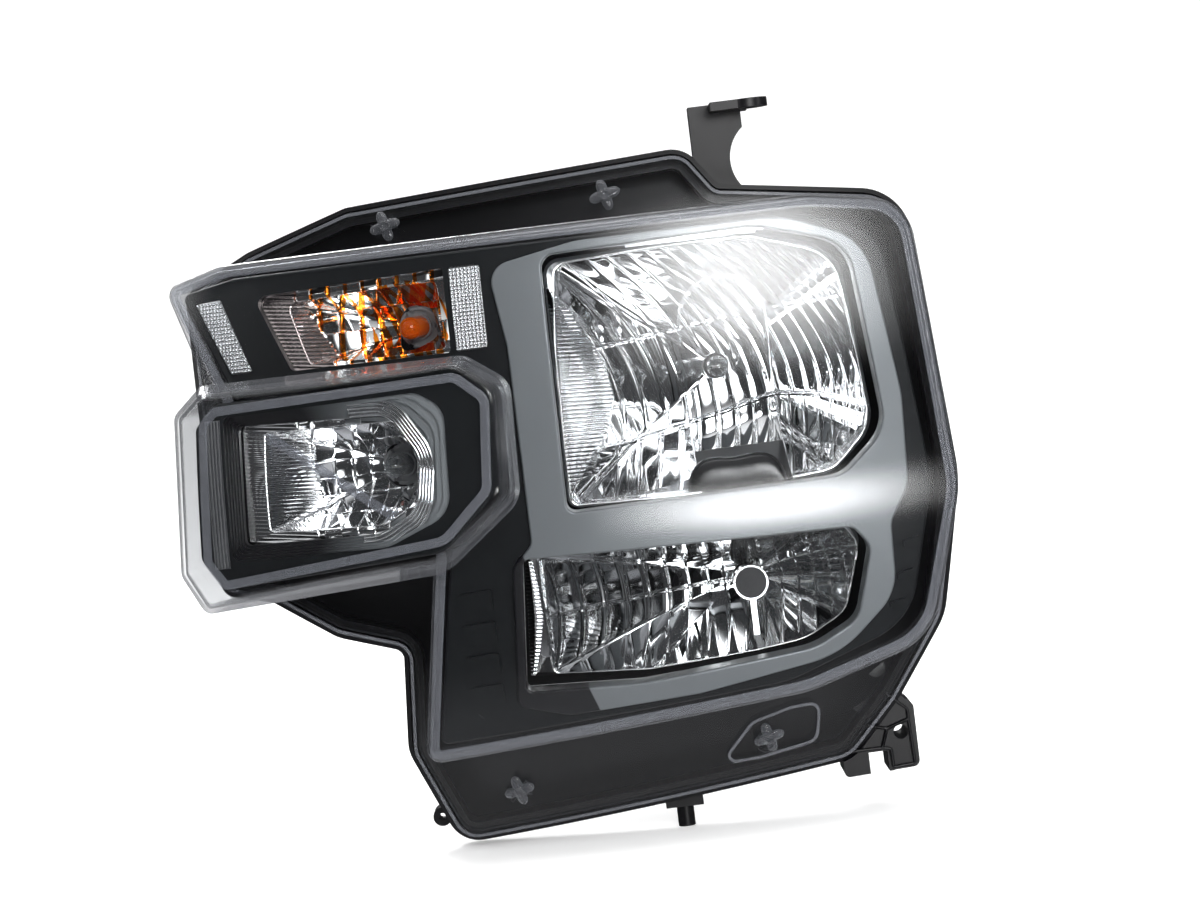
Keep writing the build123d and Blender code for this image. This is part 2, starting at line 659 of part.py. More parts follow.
def reflector_carrier():
    body = prism(CARRIER, *CARRIER_Y)
    for window, axis in ((UPPER_WINDOW, UPPER_AXIS), (LOWER_WINDOW, LOWER_AXIS)):
        dish_edge = scaled(grown(window, WINDOW_MARGIN), axis, dish_factor(CARRIER_Y[0]))
        opening = grown(dish_edge, REFLECTOR_WALL + 1.2)
        body -= prism(opening, CARRIER_Y[0] - 1, CARRIER_Y[1] + 1)
    rim = prism(CARRIER, CARRIER_Y[1] - 0.5, CARRIER_Y[1] + 6)
    rim -= prism(grown(CARRIER, -2), CARRIER_Y[1] - 1, CARRIER_Y[1] + 7)
    body += rim
    for ears, axis in ((UPPER_EARS, UPPER_AXIS), (LOWER_EARS, LOWER_AXIS)):
        for low, high in ears:
            at = (ear_screw_x(low, high, axis), axis[1])
            body -= rod(SCREW_HOLE_R, CARRIER_Y[0] - SINK, CARRIER_Y[1] + SINK, at)
    return body


def reflector_screws():
    group = []
    for ears, axis in ((UPPER_EARS, UPPER_AXIS), (LOWER_EARS, LOWER_AXIS)):
        for low, high in ears:
            place = Pos(ear_screw_x(low, high, axis), CARRIER_Y[1], axis[1]) * Rot(-90, 0, 0)
            group.append(place * screw(6.5))
    return Compound(group)


def ball_socket(at):
    body = rod(BALL_SOCKET_R, CARRIER_Y[1], PIVOT_Y + 4, at)
    body -= Pos(at[0], PIVOT_Y, at[1]) * Sphere(BALL_R + BALL_GAP)
    return body - rod(STUD_R + 1.3, PIVOT_Y, PIVOT_Y + 6, at)


def pivot_sockets():
    return Compound([ball_socket((x, PIVOT_Z)) for x in PIVOT_X])


def pivot_stud(x):
    body = Pos(x, PIVOT_Y, PIVOT_Z) * Sphere(BALL_R)
    body += rod(STUD_R, PIVOT_Y, STUD_END_Y, (x, PIVOT_Z))
    return body + rod(STUD_R + 2, STUD_BOSS_Y - 3, STUD_BOSS_Y, (x, PIVOT_Z))


def bulb_shield():
    """Round cup in front of the lower bulb, on a post from the reflector's floor."""
    x, z = LOWER_AXIS
    body = rod(SHIELD_R, SHIELD_Y[0], SHIELD_Y[1], (x, z))
    body += tube(SHIELD_R, SHIELD_R - SHIELD_WALL, SHIELD_Y[1] - 0.5, SHIELD_Y[2], (x, z))
    post_x = (x - SHIELD_POST_HALF, x + SHIELD_POST_HALF)
    body += block(post_x, (SHIELD_Y[0], SHIELD_Y[2]), (z - 50, z - SHIELD_R + SINK))
    return body & dish(grown(LOWER_WINDOW, WINDOW_MARGIN), LOWER_AXIS, RIM_Y, VERTEX_Y)


def reflector_hood():
    """Low dark hump on the upper reflector's floor."""
    body = block(HOOD_X, HOOD_Y, (-60, HOOD_TOP))
    bowl = dish(grown(UPPER_WINDOW, WINDOW_MARGIN), UPPER_AXIS, RIM_Y, VERTEX_Y)
    return body & bowl & (MAIN * Sphere(REFLECTOR_RIM_R - SINK))


# ---------------------------------------------------------------- main bulbs


def bulb_base(axis):
    body = rod(PLUG_R, PLUG_FRONT_Y, FLANGE_Y[0] + 1)
    body -= rod(PLUG_R - 3, PLUG_FRONT_Y - 1, PLUG_FRONT_Y + 6)
    for i in range(3):
        body += sector(PLUG_R - 1, BULB_LUG_R, LUG_BACK_Y - 3, LUG_BACK_Y, i * 120, 20)
    body += rod(FLANGE_R, *FLANGE_Y)
    body += rod(BODY_R, FLANGE_Y[1] - 1, ELBOW_Y[0] + 1)
    elbow = block((-ELBOW_HALF, ELBOW_HALF), ELBOW_Y, ELBOW_Z)
    elbow = fillet(elbow.edges().filter_by(Axis.Z), 3)
    elbow = fillet(elbow.faces().sort_by(Axis.Z)[-1].edges(), 2)
    body += elbow
    inner = ELBOW_HALF - SOCKET_WALL
    body -= block((-inner, inner), (ELBOW_Y[0] + SOCKET_WALL, ELBOW_Y[1] - SOCKET_WALL), (-40, SOCKET_TOP_Z))
    body += block((-3, 3), (ELBOW_Y[1] - 0.5, ELBOW_Y[1] + 2.5), (-30, -22))
    return Pos(axis[0], 0, axis[1]) * body


def capsule(radius, tip, root):
    return rod(radius, tip + radius, root) + Pos(0, tip + radius, 0) * Sphere(radius)


def bulb_glass(axis):
    body = capsule(GLASS_R, GLASS_TIP_Y, PLUG_FRONT_Y + 6)
    body -= capsule(GLASS_R - 0.9, GLASS_TIP_Y + 0.9, PLUG_FRONT_Y + 7)
    return Pos(axis[0], 0, axis[1]) * body


def filament(tip, root, half_gap=2):
    """Short coil held across two lead wires."""
    body = Pos(0, tip, 0) * Rot(0, 90, 0) * Cylinder(0.8, half_gap * 2 + 0.6)
    for side in (-1, 1):
        body += rod(0.4, tip, root, (side * half_gap, 0))
    return body


def bulb_filament(axis):
    return Pos(axis[0], 0, axis[1]) * filament(GLASS_TIP_Y + 9, PLUG_FRONT_Y + 6)


def bulb_seal(axis):
    return tube(PLUG_R + 2.4, PLUG_R, SEAT_Y + 0.1, FLANGE_Y[0], axis)


def bulb_terminals(axis):
    x, z = axis
    y = sum(ELBOW_Y) / 2
    blades = []
    for side in (-1, 1):
        middle = x + side * 3.6
        blades.append(block((middle - 1.4, middle + 1.4), (y - 0.4, y + 0.4), (z - 28, z + SOCKET_TOP_Z)))
    return Compound(blades)


# ---------------------------------------------------------------- cell bulbs


def in_cell(axis, pad_y):
    """Place of a cell socket: local y = 0 is the front of its pad."""
    return CELL * Pos(axis[0], pad_y, axis[1])


def cell_socket(reach):
    body = rod(SOCKET_R, -reach, CELL_FLANGE_Y[0] + 1)
    body -= tube(SOCKET_R - 1.6, WEDGE_R + 1.2, -reach - 1, -reach + 2.5)
    body -= rod(WEDGE_R + 0.1, -reach - 1, -reach + 5)
    for i in range(3):
        body += sector(SOCKET_R - 1, CELL_LUG_R, -3.4, -0.4, i * 120, 22)
        slot = block((SOCKET_R - 3, SOCKET_R + SINK), (-reach - SINK, -reach + 4), (-1.6, 1.6))
        body -= Rot(0, i * 120, 0) * slot
    body += rod(CELL_FLANGE_R, *CELL_FLANGE_Y)
    half_x, half_z = CELL_HALF
    shroud = block((-half_x, half_x), (CELL_FLANGE_Y[1] - 1, CELL_BACK_Y), (-half_z, half_z))
    shroud = fillet(shroud.edges().filter_by(Axis.Y), 2.5)
    body += shroud
    wall = 1.8
    cavity_x = half_x - wall
    cavity_z = half_z - wall
    body -= block((-cavity_x, cavity_x), (CELL_CAVITY_Y, CELL_BACK_Y + SINK), (-cavity_z, cavity_z))
    return body


def cell_seal():
    return tube(CELL_FLANGE_R - 1, PORT_R + 0.6, PAD_DEPTH + 0.1, CELL_FLANGE_Y[0])


def cell_glass(reach):
    tip = -reach - WEDGE_LENGTH
    return capsule(WEDGE_R, tip, -reach + 5) - capsule(WEDGE_R - 0.8, tip + 0.8, -reach + 6)


def cell_terminals():
    blades = []
    for side in (-1, 1):
        middle = side * 3.4
        blades.append(block((middle - 1.2, middle + 1.2), (CELL_CAVITY_Y, CELL_BACK_Y - 3), (-4.2, -3.4)))
    return Compound(blades)


# ---------------------------------------------------------------- rubber, adjuster, brackets


def boot(axis):
    body = tube(PORT_OUTER_R + 2.5, PORT_OUTER_R, REAR_Y + 0.5, PORT_BACK_Y, axis)
    body += tube(PORT_OUTER_R + 2.5, BOOT_LIP_R, PORT_BACK_Y, PORT_BACK_Y + 2.2, axis)
    return body + tube(BOOT_LIP_R + 2.5, BOOT_LIP_R, REAR_Y - 2, PORT_BACK_Y + 2.2, axis)


def vent_caps():
    caps = []
    for at in VENTS:
        cap = rod(VENT_R + 2, REAR_Y + 1.5, REAR_Y + 11, at) - rod(VENT_R, REAR_Y, REAR_Y + 8.5, at)
        caps.append(cap)
    return Compound(caps)


def adjuster_place():
    return Pos(ADJUSTER_X, 0, ADJUSTER_Z)


def adjuster_case():
    """Gear case with a screwdriver opening on top and a flatted hole that keeps the rod from turning."""
    body = block((-CASE_HALF, CASE_HALF), CASE_Y, (-CASE_HALF, CASE_HALF))
    body = fillet(body.edges().filter_by(Axis.Y), 4)
    body += block((CASE_EARS[0][0], CASE_EARS[1][0]), (CASE_Y[0], CASE_Y[0] + 3), (-5, 5))
    for x, z in CASE_EARS:
        body += rod(5, CASE_Y[0], CASE_Y[0] + 3, (x, z))
        body -= rod(SCREW_HOLE_R, CASE_Y[0] - SINK, CASE_Y[0] + 4, (x, z))
    body -= rod(CASE_CAVITY_R, CASE_Y[0] - 1, CASE_Y[1] - CASE_WALL)
    hole = rod(ROD_R + 0.05, CASE_Y[1] - 10, CASE_Y[1] + 1)
    hole -= block((-8, 8), (CASE_Y[0], CASE_Y[1] + 2), (FLAT_Z + 0.1, 9))
    body -= hole
    body -= block((-4.5, 4.5), (WHEEL_Y[1] + 0.5, CASE_Y[1] - CASE_WALL), (6, CASE_HALF + 1))
    return adjuster_place() * body


def case_screws():
    group = []
    for x, z in CASE_EARS:
        group.append(Pos(ADJUSTER_X + x, CASE_Y[0] + 3, ADJUSTER_Z + z) * Rot(-90, 0, 0) * screw(5))
    return Compound(group)


def adjuster_wheel():
    """Crown wheel whose hub is the nut on the rod."""
    body = rod(WHEEL_R, *WHEEL_Y) + rod(WHEEL_HUB_R, CASE_Y[0] + 0.4, CASE_Y[1] - CASE_WALL - 0.4)
    for i in range(CROWN_TEETH):
        tooth = block((WHEEL_HUB_R + 0.8, WHEEL_R - 0.4), (WHEEL_Y[1] - 0.5, WHEEL_Y[1] + 2.2), (-0.7, 0.7))
        body += Rot(0, i * 360 / CROWN_TEETH, 0) * tooth
    body -= rod(ROD_R + 0.06, CASE_Y[0], CASE_Y[1])
    return adjuster_place() * body


def adjuster_rod():
    body = rod(ROD_R, PIVOT_Y + 14, ROD_END_Y)
    body -= block((-8, 8), (PIVOT_Y + 30, ROD_END_Y + 1), (FLAT_Z, 9))
    body += rod(STUD_R, PIVOT_Y, PIVOT_Y + 15)
    body += Pos(0, PIVOT_Y, 0) * Sphere(BALL_R)
    return adjuster_place() * body


def upper_bracket():
    """Tall ribbed channel on the rear box, with a bolt ear on top."""
    top = EAR_Z[1]
    body = block(ARM_X, ARM_Y, (REAR_TOP, top))
    for pocket in POCKETS_Z:
        body -= block((ARM_X[0] + ARM_WALL, WEB_X[0]), (ARM_Y[0] + ARM_WALL, ARM_Y[1] + SINK), pocket)
        body -= block((WEB_X[1], ARM_X[1] - ARM_WALL), (ARM_Y[0] + ARM_WALL, ARM_Y[1] + SINK), pocket)
    body -= rod(SCOOP_R, ARM_Y[0] - OVER, ARM_Y[1] + OVER, SCOOP_AT)
    body += block((ARM_X[0], ARM_X[1] + 4), (ARM_Y[0], 60), (REAR_TOP, REAR_TOP + FOOT_PLATE))
    ear = block((46, DATUM.X), (DATUM.Y - 9, ARM_Y[1]), EAR_Z)
    ear += Pos(DATUM.X, DATUM.Y, sum(EAR_Z) / 2) * Cylinder(EAR_R, EAR_Z[1] - EAR_Z[0])
    body += ear
    body -= Pos(DATUM.X, DATUM.Y, sum(EAR_Z) / 2) * Cylinder(BOLT_R, 20)
    for x, y in TOP_SCREWS:
        body -= Pos(x, y, REAR_TOP) * Cylinder(SCREW_HOLE_R, 20)
    return body


def upper_bracket_screws():
    return Compound([Pos(x, y, REAR_TOP + FOOT_PLATE) * screw(12, 4) for x, y in TOP_SCREWS])


def lower_bracket():
    """Gusset at the lower inboard corner with a bolt hole and an open fork."""
    body = prism(LOW_PLATE, *LOW_Y)
    body -= prism(grown(LOW_PLATE, -LOW_WALL), LOW_Y[0] + 4, LOW_Y[1] + SINK)
    for z in LOW_RIBS_Z:
        rib = block((80, 121), (LOW_Y[0] + 2, LOW_Y[1] - 4), (z - LOW_RIB_HALF, z + LOW_RIB_HALF))
        body += rib & prism(LOW_PLATE, *LOW_Y)
    body += rod(LOW_BOLT_R + 3.5, LOW_Y[0], LOW_Y[1], LOW_BOLT)
    body += block((FORK_X[0] - 3, FORK_X[1] + 3), LOW_Y, (-209, FORK_TOP + 3))
    body -= block(FORK_X, (LOW_Y[0] - 2, LOW_Y[1] + 2), (-215, FORK_TOP))
    body -= rod(LOW_BOLT_R, LOW_Y[0] - 1, LOW_Y[1] + 1, LOW_BOLT)
    body -= prism(grown(FOOT, RIM_OUT + 0.2), LOW_Y[0] - 5, LOW_TAB_Y[0])
    tab = prism(LOW_TAB, *LOW_TAB_Y)
    body += tab
    body -= rod(LOW_BOLT_R, LOW_Y[0] - 1, LOW_Y[1] + 1, LOW_BOLT)
    for x, z in LOW_BOSSES:
        body -= rod(SCREW_HOLE_R, LOW_TAB_Y[0] - SINK, LOW_TAB_Y[1] + SINK, (x, z))
    return body


def lower_bracket_screws():
    return Compound([Pos(x, LOW_TAB_Y[1], z) * Rot(-90, 0, 0) * screw(7) for x, z in LOW_BOSSES])


def bezel_screws():
    group = []
    for x, z in BEZEL_POSTS:
        group.append(Pos(x, sphere_y(SLAB_R, x, z) + 4, z) * Rot(-90, 0, 0) * screw(14))
    return Compound(group)


# ---------------------------------------------------------------- the assembly
def assembly():
    nodes = {
        "housing": housing(),
        "lens": lens(),
        "lens_sealant": lens_sealant(),
        "black_bezel": black_bezel(),
        "grey_bezel": grey_bezel(),
        "marker_bezel": marker_bezel(),
        "marker_ring": marker_ring(),
        "turn_reflector": cell_reflector(TURN_WINDOW, TURN_AXIS, TURN_DISH, TURN_RIM_R),
        "marker_reflector": cell_reflector(MARKER_WINDOW, MARKER_AXIS, MARKER_DISH, MARKER_RIM_R),
        "reflex_strip_outer": reflex_strip(STRIP_OUTER),
        "reflex_strip_inner": reflex_strip(STRIP_INNER),
        "bezel_screws": bezel_screws(),
        "upper_bracket": upper_bracket(),
        "upper_bracket_screws": upper_bracket_screws(),
        "lower_bracket": lower_bracket(),
        "lower_bracket_screws": lower_bracket_screws(),
        "upper_boot": boot(UPPER_AXIS),
        "lower_boot": boot(LOWER_AXIS),
        "vent_caps": vent_caps(),
        "pivot_studs": Compound([pivot_stud(x) for x in PIVOT_X]),
        "adjuster_case": adjuster_case(),
        "adjuster_case_screws": case_screws(),
        "adjuster_wheel": adjuster_wheel(),
        "adjuster_rod": adjuster_rod(),
        "reflector_carrier": reflector_carrier(),
        "upper_reflector": main_reflector(UPPER_WINDOW, UPPER_AXIS, UPPER_EARS),
        "lower_reflector": main_reflector(LOWER_WINDOW, LOWER_AXIS, LOWER_EARS),
        "reflector_screws": reflector_screws(),
        "pivot_sockets": pivot_sockets(),
        "adjuster_socket": ball_socket((ADJUSTER_X, ADJUSTER_Z)),
        "bulb_shield": bulb_shield(),
        "reflector_hood": reflector_hood(),
    }
    for name, axis in (("upper", UPPER_AXIS), ("lower", LOWER_AXIS)):
        nodes[name + "_bulb_base"] = bulb_base(axis)
        nodes[name + "_bulb_glass"] = bulb_glass(axis)
        nodes[name + "_bulb_filament"] = bulb_filament(axis)
        nodes[name + "_bulb_seal"] = bulb_seal(axis)
        nodes[name + "_bulb_terminals"] = bulb_terminals(axis)
    for name, axis, pad_y, reach in (("turn", TURN_AXIS, TURN_PAD_Y, TURN_REACH),
                                     ("marker", MARKER_AXIS, MARKER_PAD_Y, MARKER_REACH)):
        place = in_cell(axis, pad_y)
        nodes[name + "_socket"] = place * cell_socket(reach)
        nodes[name + "_bulb_glass"] = place * cell_glass(reach)
        nodes[name + "_bulb_filament"] = place * filament(-reach - 14, -reach + 5)
        nodes[name + "_socket_seal"] = place * cell_seal()
        nodes[name + "_socket_terminals"] = place * cell_terminals()
    return nodes


def main():
    os.makedirs("parts", exist_ok=True)
    for name, shape in assembly().items():
        export_step(Pos(-DATUM) * shape, f"parts/{name}.step")


if __name__ == "__main__":
    main()
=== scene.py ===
import json
import math

import bpy
import numpy as np
from mathutils import Matrix, Vector

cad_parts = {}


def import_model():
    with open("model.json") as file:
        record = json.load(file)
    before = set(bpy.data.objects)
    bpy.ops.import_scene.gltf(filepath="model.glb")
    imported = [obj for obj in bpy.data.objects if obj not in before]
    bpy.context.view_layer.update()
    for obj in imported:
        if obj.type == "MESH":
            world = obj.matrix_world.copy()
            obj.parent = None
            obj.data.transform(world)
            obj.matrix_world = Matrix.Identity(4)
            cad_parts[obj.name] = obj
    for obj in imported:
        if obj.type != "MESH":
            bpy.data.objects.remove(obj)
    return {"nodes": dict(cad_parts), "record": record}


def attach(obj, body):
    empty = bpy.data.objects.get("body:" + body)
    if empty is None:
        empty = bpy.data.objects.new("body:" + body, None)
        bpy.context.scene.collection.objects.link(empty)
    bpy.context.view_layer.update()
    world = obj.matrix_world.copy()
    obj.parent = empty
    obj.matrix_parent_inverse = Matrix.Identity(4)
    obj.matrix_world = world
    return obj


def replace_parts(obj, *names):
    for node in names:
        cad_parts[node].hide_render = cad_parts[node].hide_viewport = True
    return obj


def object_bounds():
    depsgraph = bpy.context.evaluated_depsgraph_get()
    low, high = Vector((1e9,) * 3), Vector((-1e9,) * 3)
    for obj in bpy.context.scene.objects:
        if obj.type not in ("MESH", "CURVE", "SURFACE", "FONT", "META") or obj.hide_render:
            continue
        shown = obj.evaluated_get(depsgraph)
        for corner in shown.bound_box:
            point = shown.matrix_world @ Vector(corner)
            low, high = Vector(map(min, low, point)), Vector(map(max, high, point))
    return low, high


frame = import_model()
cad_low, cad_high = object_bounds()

# ---------------------------------------------------------------- places, in millimetres
# x inboard from the main lens axis, y rearward, z up. The row frame starts at the upper bolt hole.
DATUM = np.array([68.0, 12.0, 183.0])
DOME_Y = 630.0
CELL_TURN = math.radians(-14.9)

UPPER_AXIS = (34, 35)
LOWER_AXIS = (37, -90)
TURN_AXIS = (33, 79)
MARKER_AXIS = (19, 3)

# outlines: each corner is x, z and its radius
UPPER_WINDOW = [(-60, 110, 8), (60, 112, 40), (110, 97, 24), (119, -8, 24), (92, -31, 20), (-62, -33, 5)]
LOWER_WINDOW = [(-90, -56, 4), (94, -60, 8), (103, -72, 10), (92, -112, 16), (66, -125, 40), (-30, -133, 40),
                (-97, -131, 4)]
TURN_WINDOW = [(-53, 107, 5), (60, 110, 2), (61, 63, 2), (-33, 63, 4)]
MARKER_WINDOW = [(-62, 36, 3), (-67, -31, 3), (16, -32, 22), (38, -20, 16), (43, 8, 18), (28, 33, 14)]
FACE = [(-276, 118, 8), (-240, 127, 20), (90, 126, 80), (146, 117, 26), (156, -45, 50), (132, -128, 38),
        (60, -149, 80), (-159, -167, 8), (-138, -45, 8), (-245, 40, 8)]
BULGE_FRONT = [(-70, 50, 6), (-80, 41, 6), (-88, -38, 7), (-77, -55, 6), (58, -42, 18), (87, -15, 14),
               (92, 38, 12), (74, 54, 12)]
FOOT = [(-266, 112, 8), (-228, 130, 20), (-168, 148, 12), (26, 158, 14), (42, 135, 8), (146, 120, 26),
        (158, -42, 60), (142, -120, 34), (110, -166, 10), (82, -196, 20), (-146, -221, 14), (-168, -165, 20),
        (-162, -102, 10), (-202, -90, 20), (-238, -66, 10), (-266, -60, 5)]
PAD = [(5, -191, 5), (27, -167, 10), (50, -161, 12), (68, -160, 6), (64, -184, 8), (30, -190, 20)]
STARS = ((-146, 138), (-20, 140), (-110, -193), (36, -178))
BRACKET_POCKETS = (
    [(97, -174, 1), (106, -163, 2), (118, -174, 2), (118, -180, 1), (105, -184, 1), (92, -181, 1)],
    [(92, -181, 1), (105, -184, 1), (101, -195, 1), (80, -195, 1)],
    [(105, -184, 1), (118, -180, 1), (119, -206, 1.5), (106.5, -207, 1), (106, -196, 1), (101, -195, 1)],
)


def row(points):
    """Design millimetres to row-frame metres."""
    return (np.asarray(points, float) - DATUM) / 1000


def on_main(x, y, z):
    """Points given by x, depth and z of the main dome."""
    return np.stack([x, y, z], -1)


def on_main_dome(x, away, z):
    """Points of the main dome: away is the distance from its centre along y, negative in front."""
    return on_main(x, DOME_Y + away, z)


def on_cell(x, away, z):
    """Points of the corner dome: away is the distance from its centre along its axis, negative in front."""
    cos_turn = math.cos(CELL_TURN)
    sin_turn = math.sin(CELL_TURN)
    return np.stack([x * cos_turn - away * sin_turn, DOME_Y + x * sin_turn + away * cos_turn, z], -1)


def dome(radius, x, z):
    """Front height of a sphere about the dome centre, negative forwards."""
    return -np.sqrt(radius**2 - x**2 - z**2)


# ---------------------------------------------------------------- outlines
def rounded(corners, steps=6):
    """Closed polyline of an outline with an arc at each corner."""
    found = []
    for i, (x, z, radius) in enumerate(corners):
        corner = np.array([x, z], float)
        back = np.array(corners[i - 1][:2], float) - corner
        ahead = np.array(corners[(i + 1) % len(corners)][:2], float) - corner
        back_length, ahead_length = np.linalg.norm(back), np.linalg.norm(ahead)
        back, ahead = back / back_length, ahead / ahead_length
        half = 0.5 * math.acos(np.clip(back @ ahead, -1, 1))
        cut = min(radius / math.tan(half), 0.45 * back_length, 0.45 * ahead_length)
        fitted = cut * math.tan(half)
        centre = corner + (back + ahead) / np.linalg.norm(back + ahead) * fitted / math.sin(half)
        start = corner + back * cut - centre
        end = corner + ahead * cut - centre
        first = math.atan2(start[1], start[0])
        turn = (math.atan2(end[1], end[0]) - first + math.pi) % (2 * math.pi) - math.pi
        for k in range(steps + 1):
            angle = first + turn * k / steps
            found.append(centre + fitted * np.array([math.cos(angle), math.sin(angle)]))
    return np.array(found)


def even(points, step):
    """The closed polyline walked at an even step, with its outward unit normals and the distance walked."""
    closed = np.vstack([points, points[:1]])
    lengths = np.r_[0, np.cumsum(np.linalg.norm(np.diff(closed, axis=0), axis=1))]
    walked = np.linspace(0, lengths[-1], int(round(lengths[-1] / step)), endpoint=False)
    line = np.stack([np.interp(walked, lengths, closed[:, k]) for k in (0, 1)], -1)
    along = np.roll(line, -1, 0) - np.roll(line, 1, 0)
    along /= np.linalg.norm(along, axis=1)[:, None]
    normal = np.stack([along[:, 1], -along[:, 0]], -1)
    area = 0.5 * np.sum(line[:, 0] * np.roll(line[:, 1], -1) - np.roll(line[:, 0], -1) * line[:, 1])
    return line, normal * np.sign(area), walked


def beside(line, normal, outwards):
    """Grid of x and z beside a line, one column for each distance outwards."""
    x = line[:, 0][:, None] + normal[:, 0][:, None] * outwards[None, :]
    z = line[:, 1][:, None] + normal[:, 1][:, None] * outwards[None, :]
    return x, z


def reach(outline, axis, angles):
    """Distance from the axis to the outline along each angle."""
    start = outline - np.array(axis, float)
    end = np.roll(start, -1, 0)
    side = end - start
    ray = np.stack([np.cos(angles), np.sin(angles)], -1)[:, None, :]
    cross = ray[..., 0] * side[None, :, 1] - ray[..., 1] * side[None, :, 0]
    cross = np.where(np.abs(cross) < 1e-9, 1e-9, cross)
    distance = (start[None, :, 0] * side[None, :, 1] - start[None, :, 1] * side[None, :, 0]) / cross
    share = (start[None, :, 0] * ray[..., 1] - start[None, :, 1] * ray[..., 0]) / cross
    hit = (share >= -1e-6) & (share <= 1 + 1e-6) & (distance > 0)
    return np.where(hit, distance, 0).max(1)


# ---------------------------------------------------------------- meshes
def new_mesh(name, points, faces, body, materials, index=None):
    """Smooth shaded mesh piece that rides on a body; index picks each face's material."""
    mesh = bpy.data.meshes.new(name)
    mesh.from_pydata(points.tolist(), [], faces.tolist())
    mesh.polygons.foreach_set("use_smooth", np.ones(len(faces), bool))
    piece = bpy.data.objects.new(name, mesh)
    bpy.context.scene.collection.objects.link(piece)
    for material in materials:
        mesh.materials.append(material)
    if index is not None:
        mesh.polygons.foreach_set("material_index", index.astype(np.int32))
    mesh.update()
    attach(piece, body)
    return piece


def plate(name, front, back, wrap, body, materials, index=None):
    """Closed sheet between two equal grids of points; wrap joins the grids' first axis to itself."""
    rows, columns = front.shape[:2]
    count = rows * columns
    ids = np.arange(count).reshape(rows, columns)
    this = ids if wrap else ids[:-1]
    following = np.roll(ids, -1, 0) if wrap else ids[1:]
    quads = np.stack([this[:, :-1], this[:, 1:], following[:, 1:], following[:, :-1]], -1).reshape(-1, 4)
    edges = [(this[:, 0], following[:, 0]), (following[:, -1], this[:, -1])]
    if not wrap:
        edges += [(ids[0, 1:], ids[0, :-1]), (ids[-1, :-1], ids[-1, 1:])]
    rims = np.vstack([np.stack([a, b, b + count, a + count], -1) for a, b in edges])
    faces = np.vstack([quads, quads[:, ::-1] + count, rims])
    points = row(np.vstack([front.reshape(-1, 3), back.reshape(-1, 3)]))
    # the faces look outwards, so the sheet's volume is above 0
    first, second, third, fourth = (points[faces[:, corner]] for corner in range(4))
    diagonal = third - first
    if np.sum(first * (np.cross(second - first, diagonal) + np.cross(diagonal, fourth - first))) < 0:
        faces = faces[:, ::-1]
    all_index = None
    if index is not None:
        all_index = np.zeros(len(faces), int)
        all_index[: len(quads)] = index.reshape(-1)
    return new_mesh(name, points, faces, body, materials, all_index)


def cusps(phase):
    """0 where two flutes meet, 1 in the middle of a flute."""
    part = phase - np.floor(phase)
    return 1 - (2 * part - 1) ** 2


def ridges(phase, width):
    """1 on the join between two flutes, falling off over width, a share of the flute."""
    part = phase - np.floor(phase)
    return np.exp(-((np.minimum(part, 1 - part) / width) ** 2))


def smooth(share):
    """Level at 0 and at 1, with a soft rise between."""
    share = np.clip(share, 0, 1)
    return share * share * (3 - 2 * share)


def crest(distance, width):
    """1 on a line, falling off over width on both sides."""
    return np.exp(-((distance / width) ** 2))


def bowl_grid(window, grow, axis, hole, spokes, rings):
    """Spokes and rings from a round hole out to the grown window, with each point's share of the way."""
    angles = np.linspace(0, 2 * math.pi, spokes, endpoint=False)
    far = (reach(rounded(window), axis, angles) + grow)[:, None]
    radius = hole + (far - hole) * np.linspace(0, 1, rings)[None, :]
    x = axis[0] + radius * np.cos(angles)[:, None]
    z = axis[1] + radius * np.sin(angles)[:, None]
    return x, z, radius / far


def flute_phase(across, places, pitches):
    """Number of flutes counted across the reflector, where the pitch changes from place to place."""
    samples = np.linspace(-140, 180, 1281)
    pitch = np.interp(samples, places, pitches)
    counted = np.r_[0, np.cumsum(0.5 * (1 / pitch[1:] + 1 / pitch[:-1]) * np.diff(samples))]
    return np.interp(across, samples, counted)


# ---------------------------------------------------------------- materials
class Nodes:
    """Short way to put shader nodes together in one node tree."""

    def __init__(self, tree):
        self.tree = tree

    def node(self, kind, *values, operation=None, **named):
        """New node; values go to its inputs in order, named values to the inputs of that name."""
        made = self.tree.nodes.new(kind)
        if operation:
            made.operation = operation
        sockets = [(made.inputs[number], value) for number, value in enumerate(values)]
        sockets += [(made.inputs[key.replace("_", " ")], value) for key, value in named.items()]
        for socket, value in sockets:
            self.feed(socket, value)
        return made

    def feed(self, socket, value):
        if isinstance(value, bpy.types.NodeSocket):
            self.tree.links.new(value, socket)
        else:
            socket.default_value = value

    def math(self, operation, first, second=0.0):
        return self.node("ShaderNodeMath", first, second, operation=operation).outputs[0]

    def between(self, share, low, high):
        return self.node("ShaderNodeMapRange", Value=share, To_Min=low, To_Max=high).outputs[0]

    def mix_shader(self, share, first, second):
        return self.node("ShaderNodeMixShader", share, first.outputs[0], second.outputs[0])


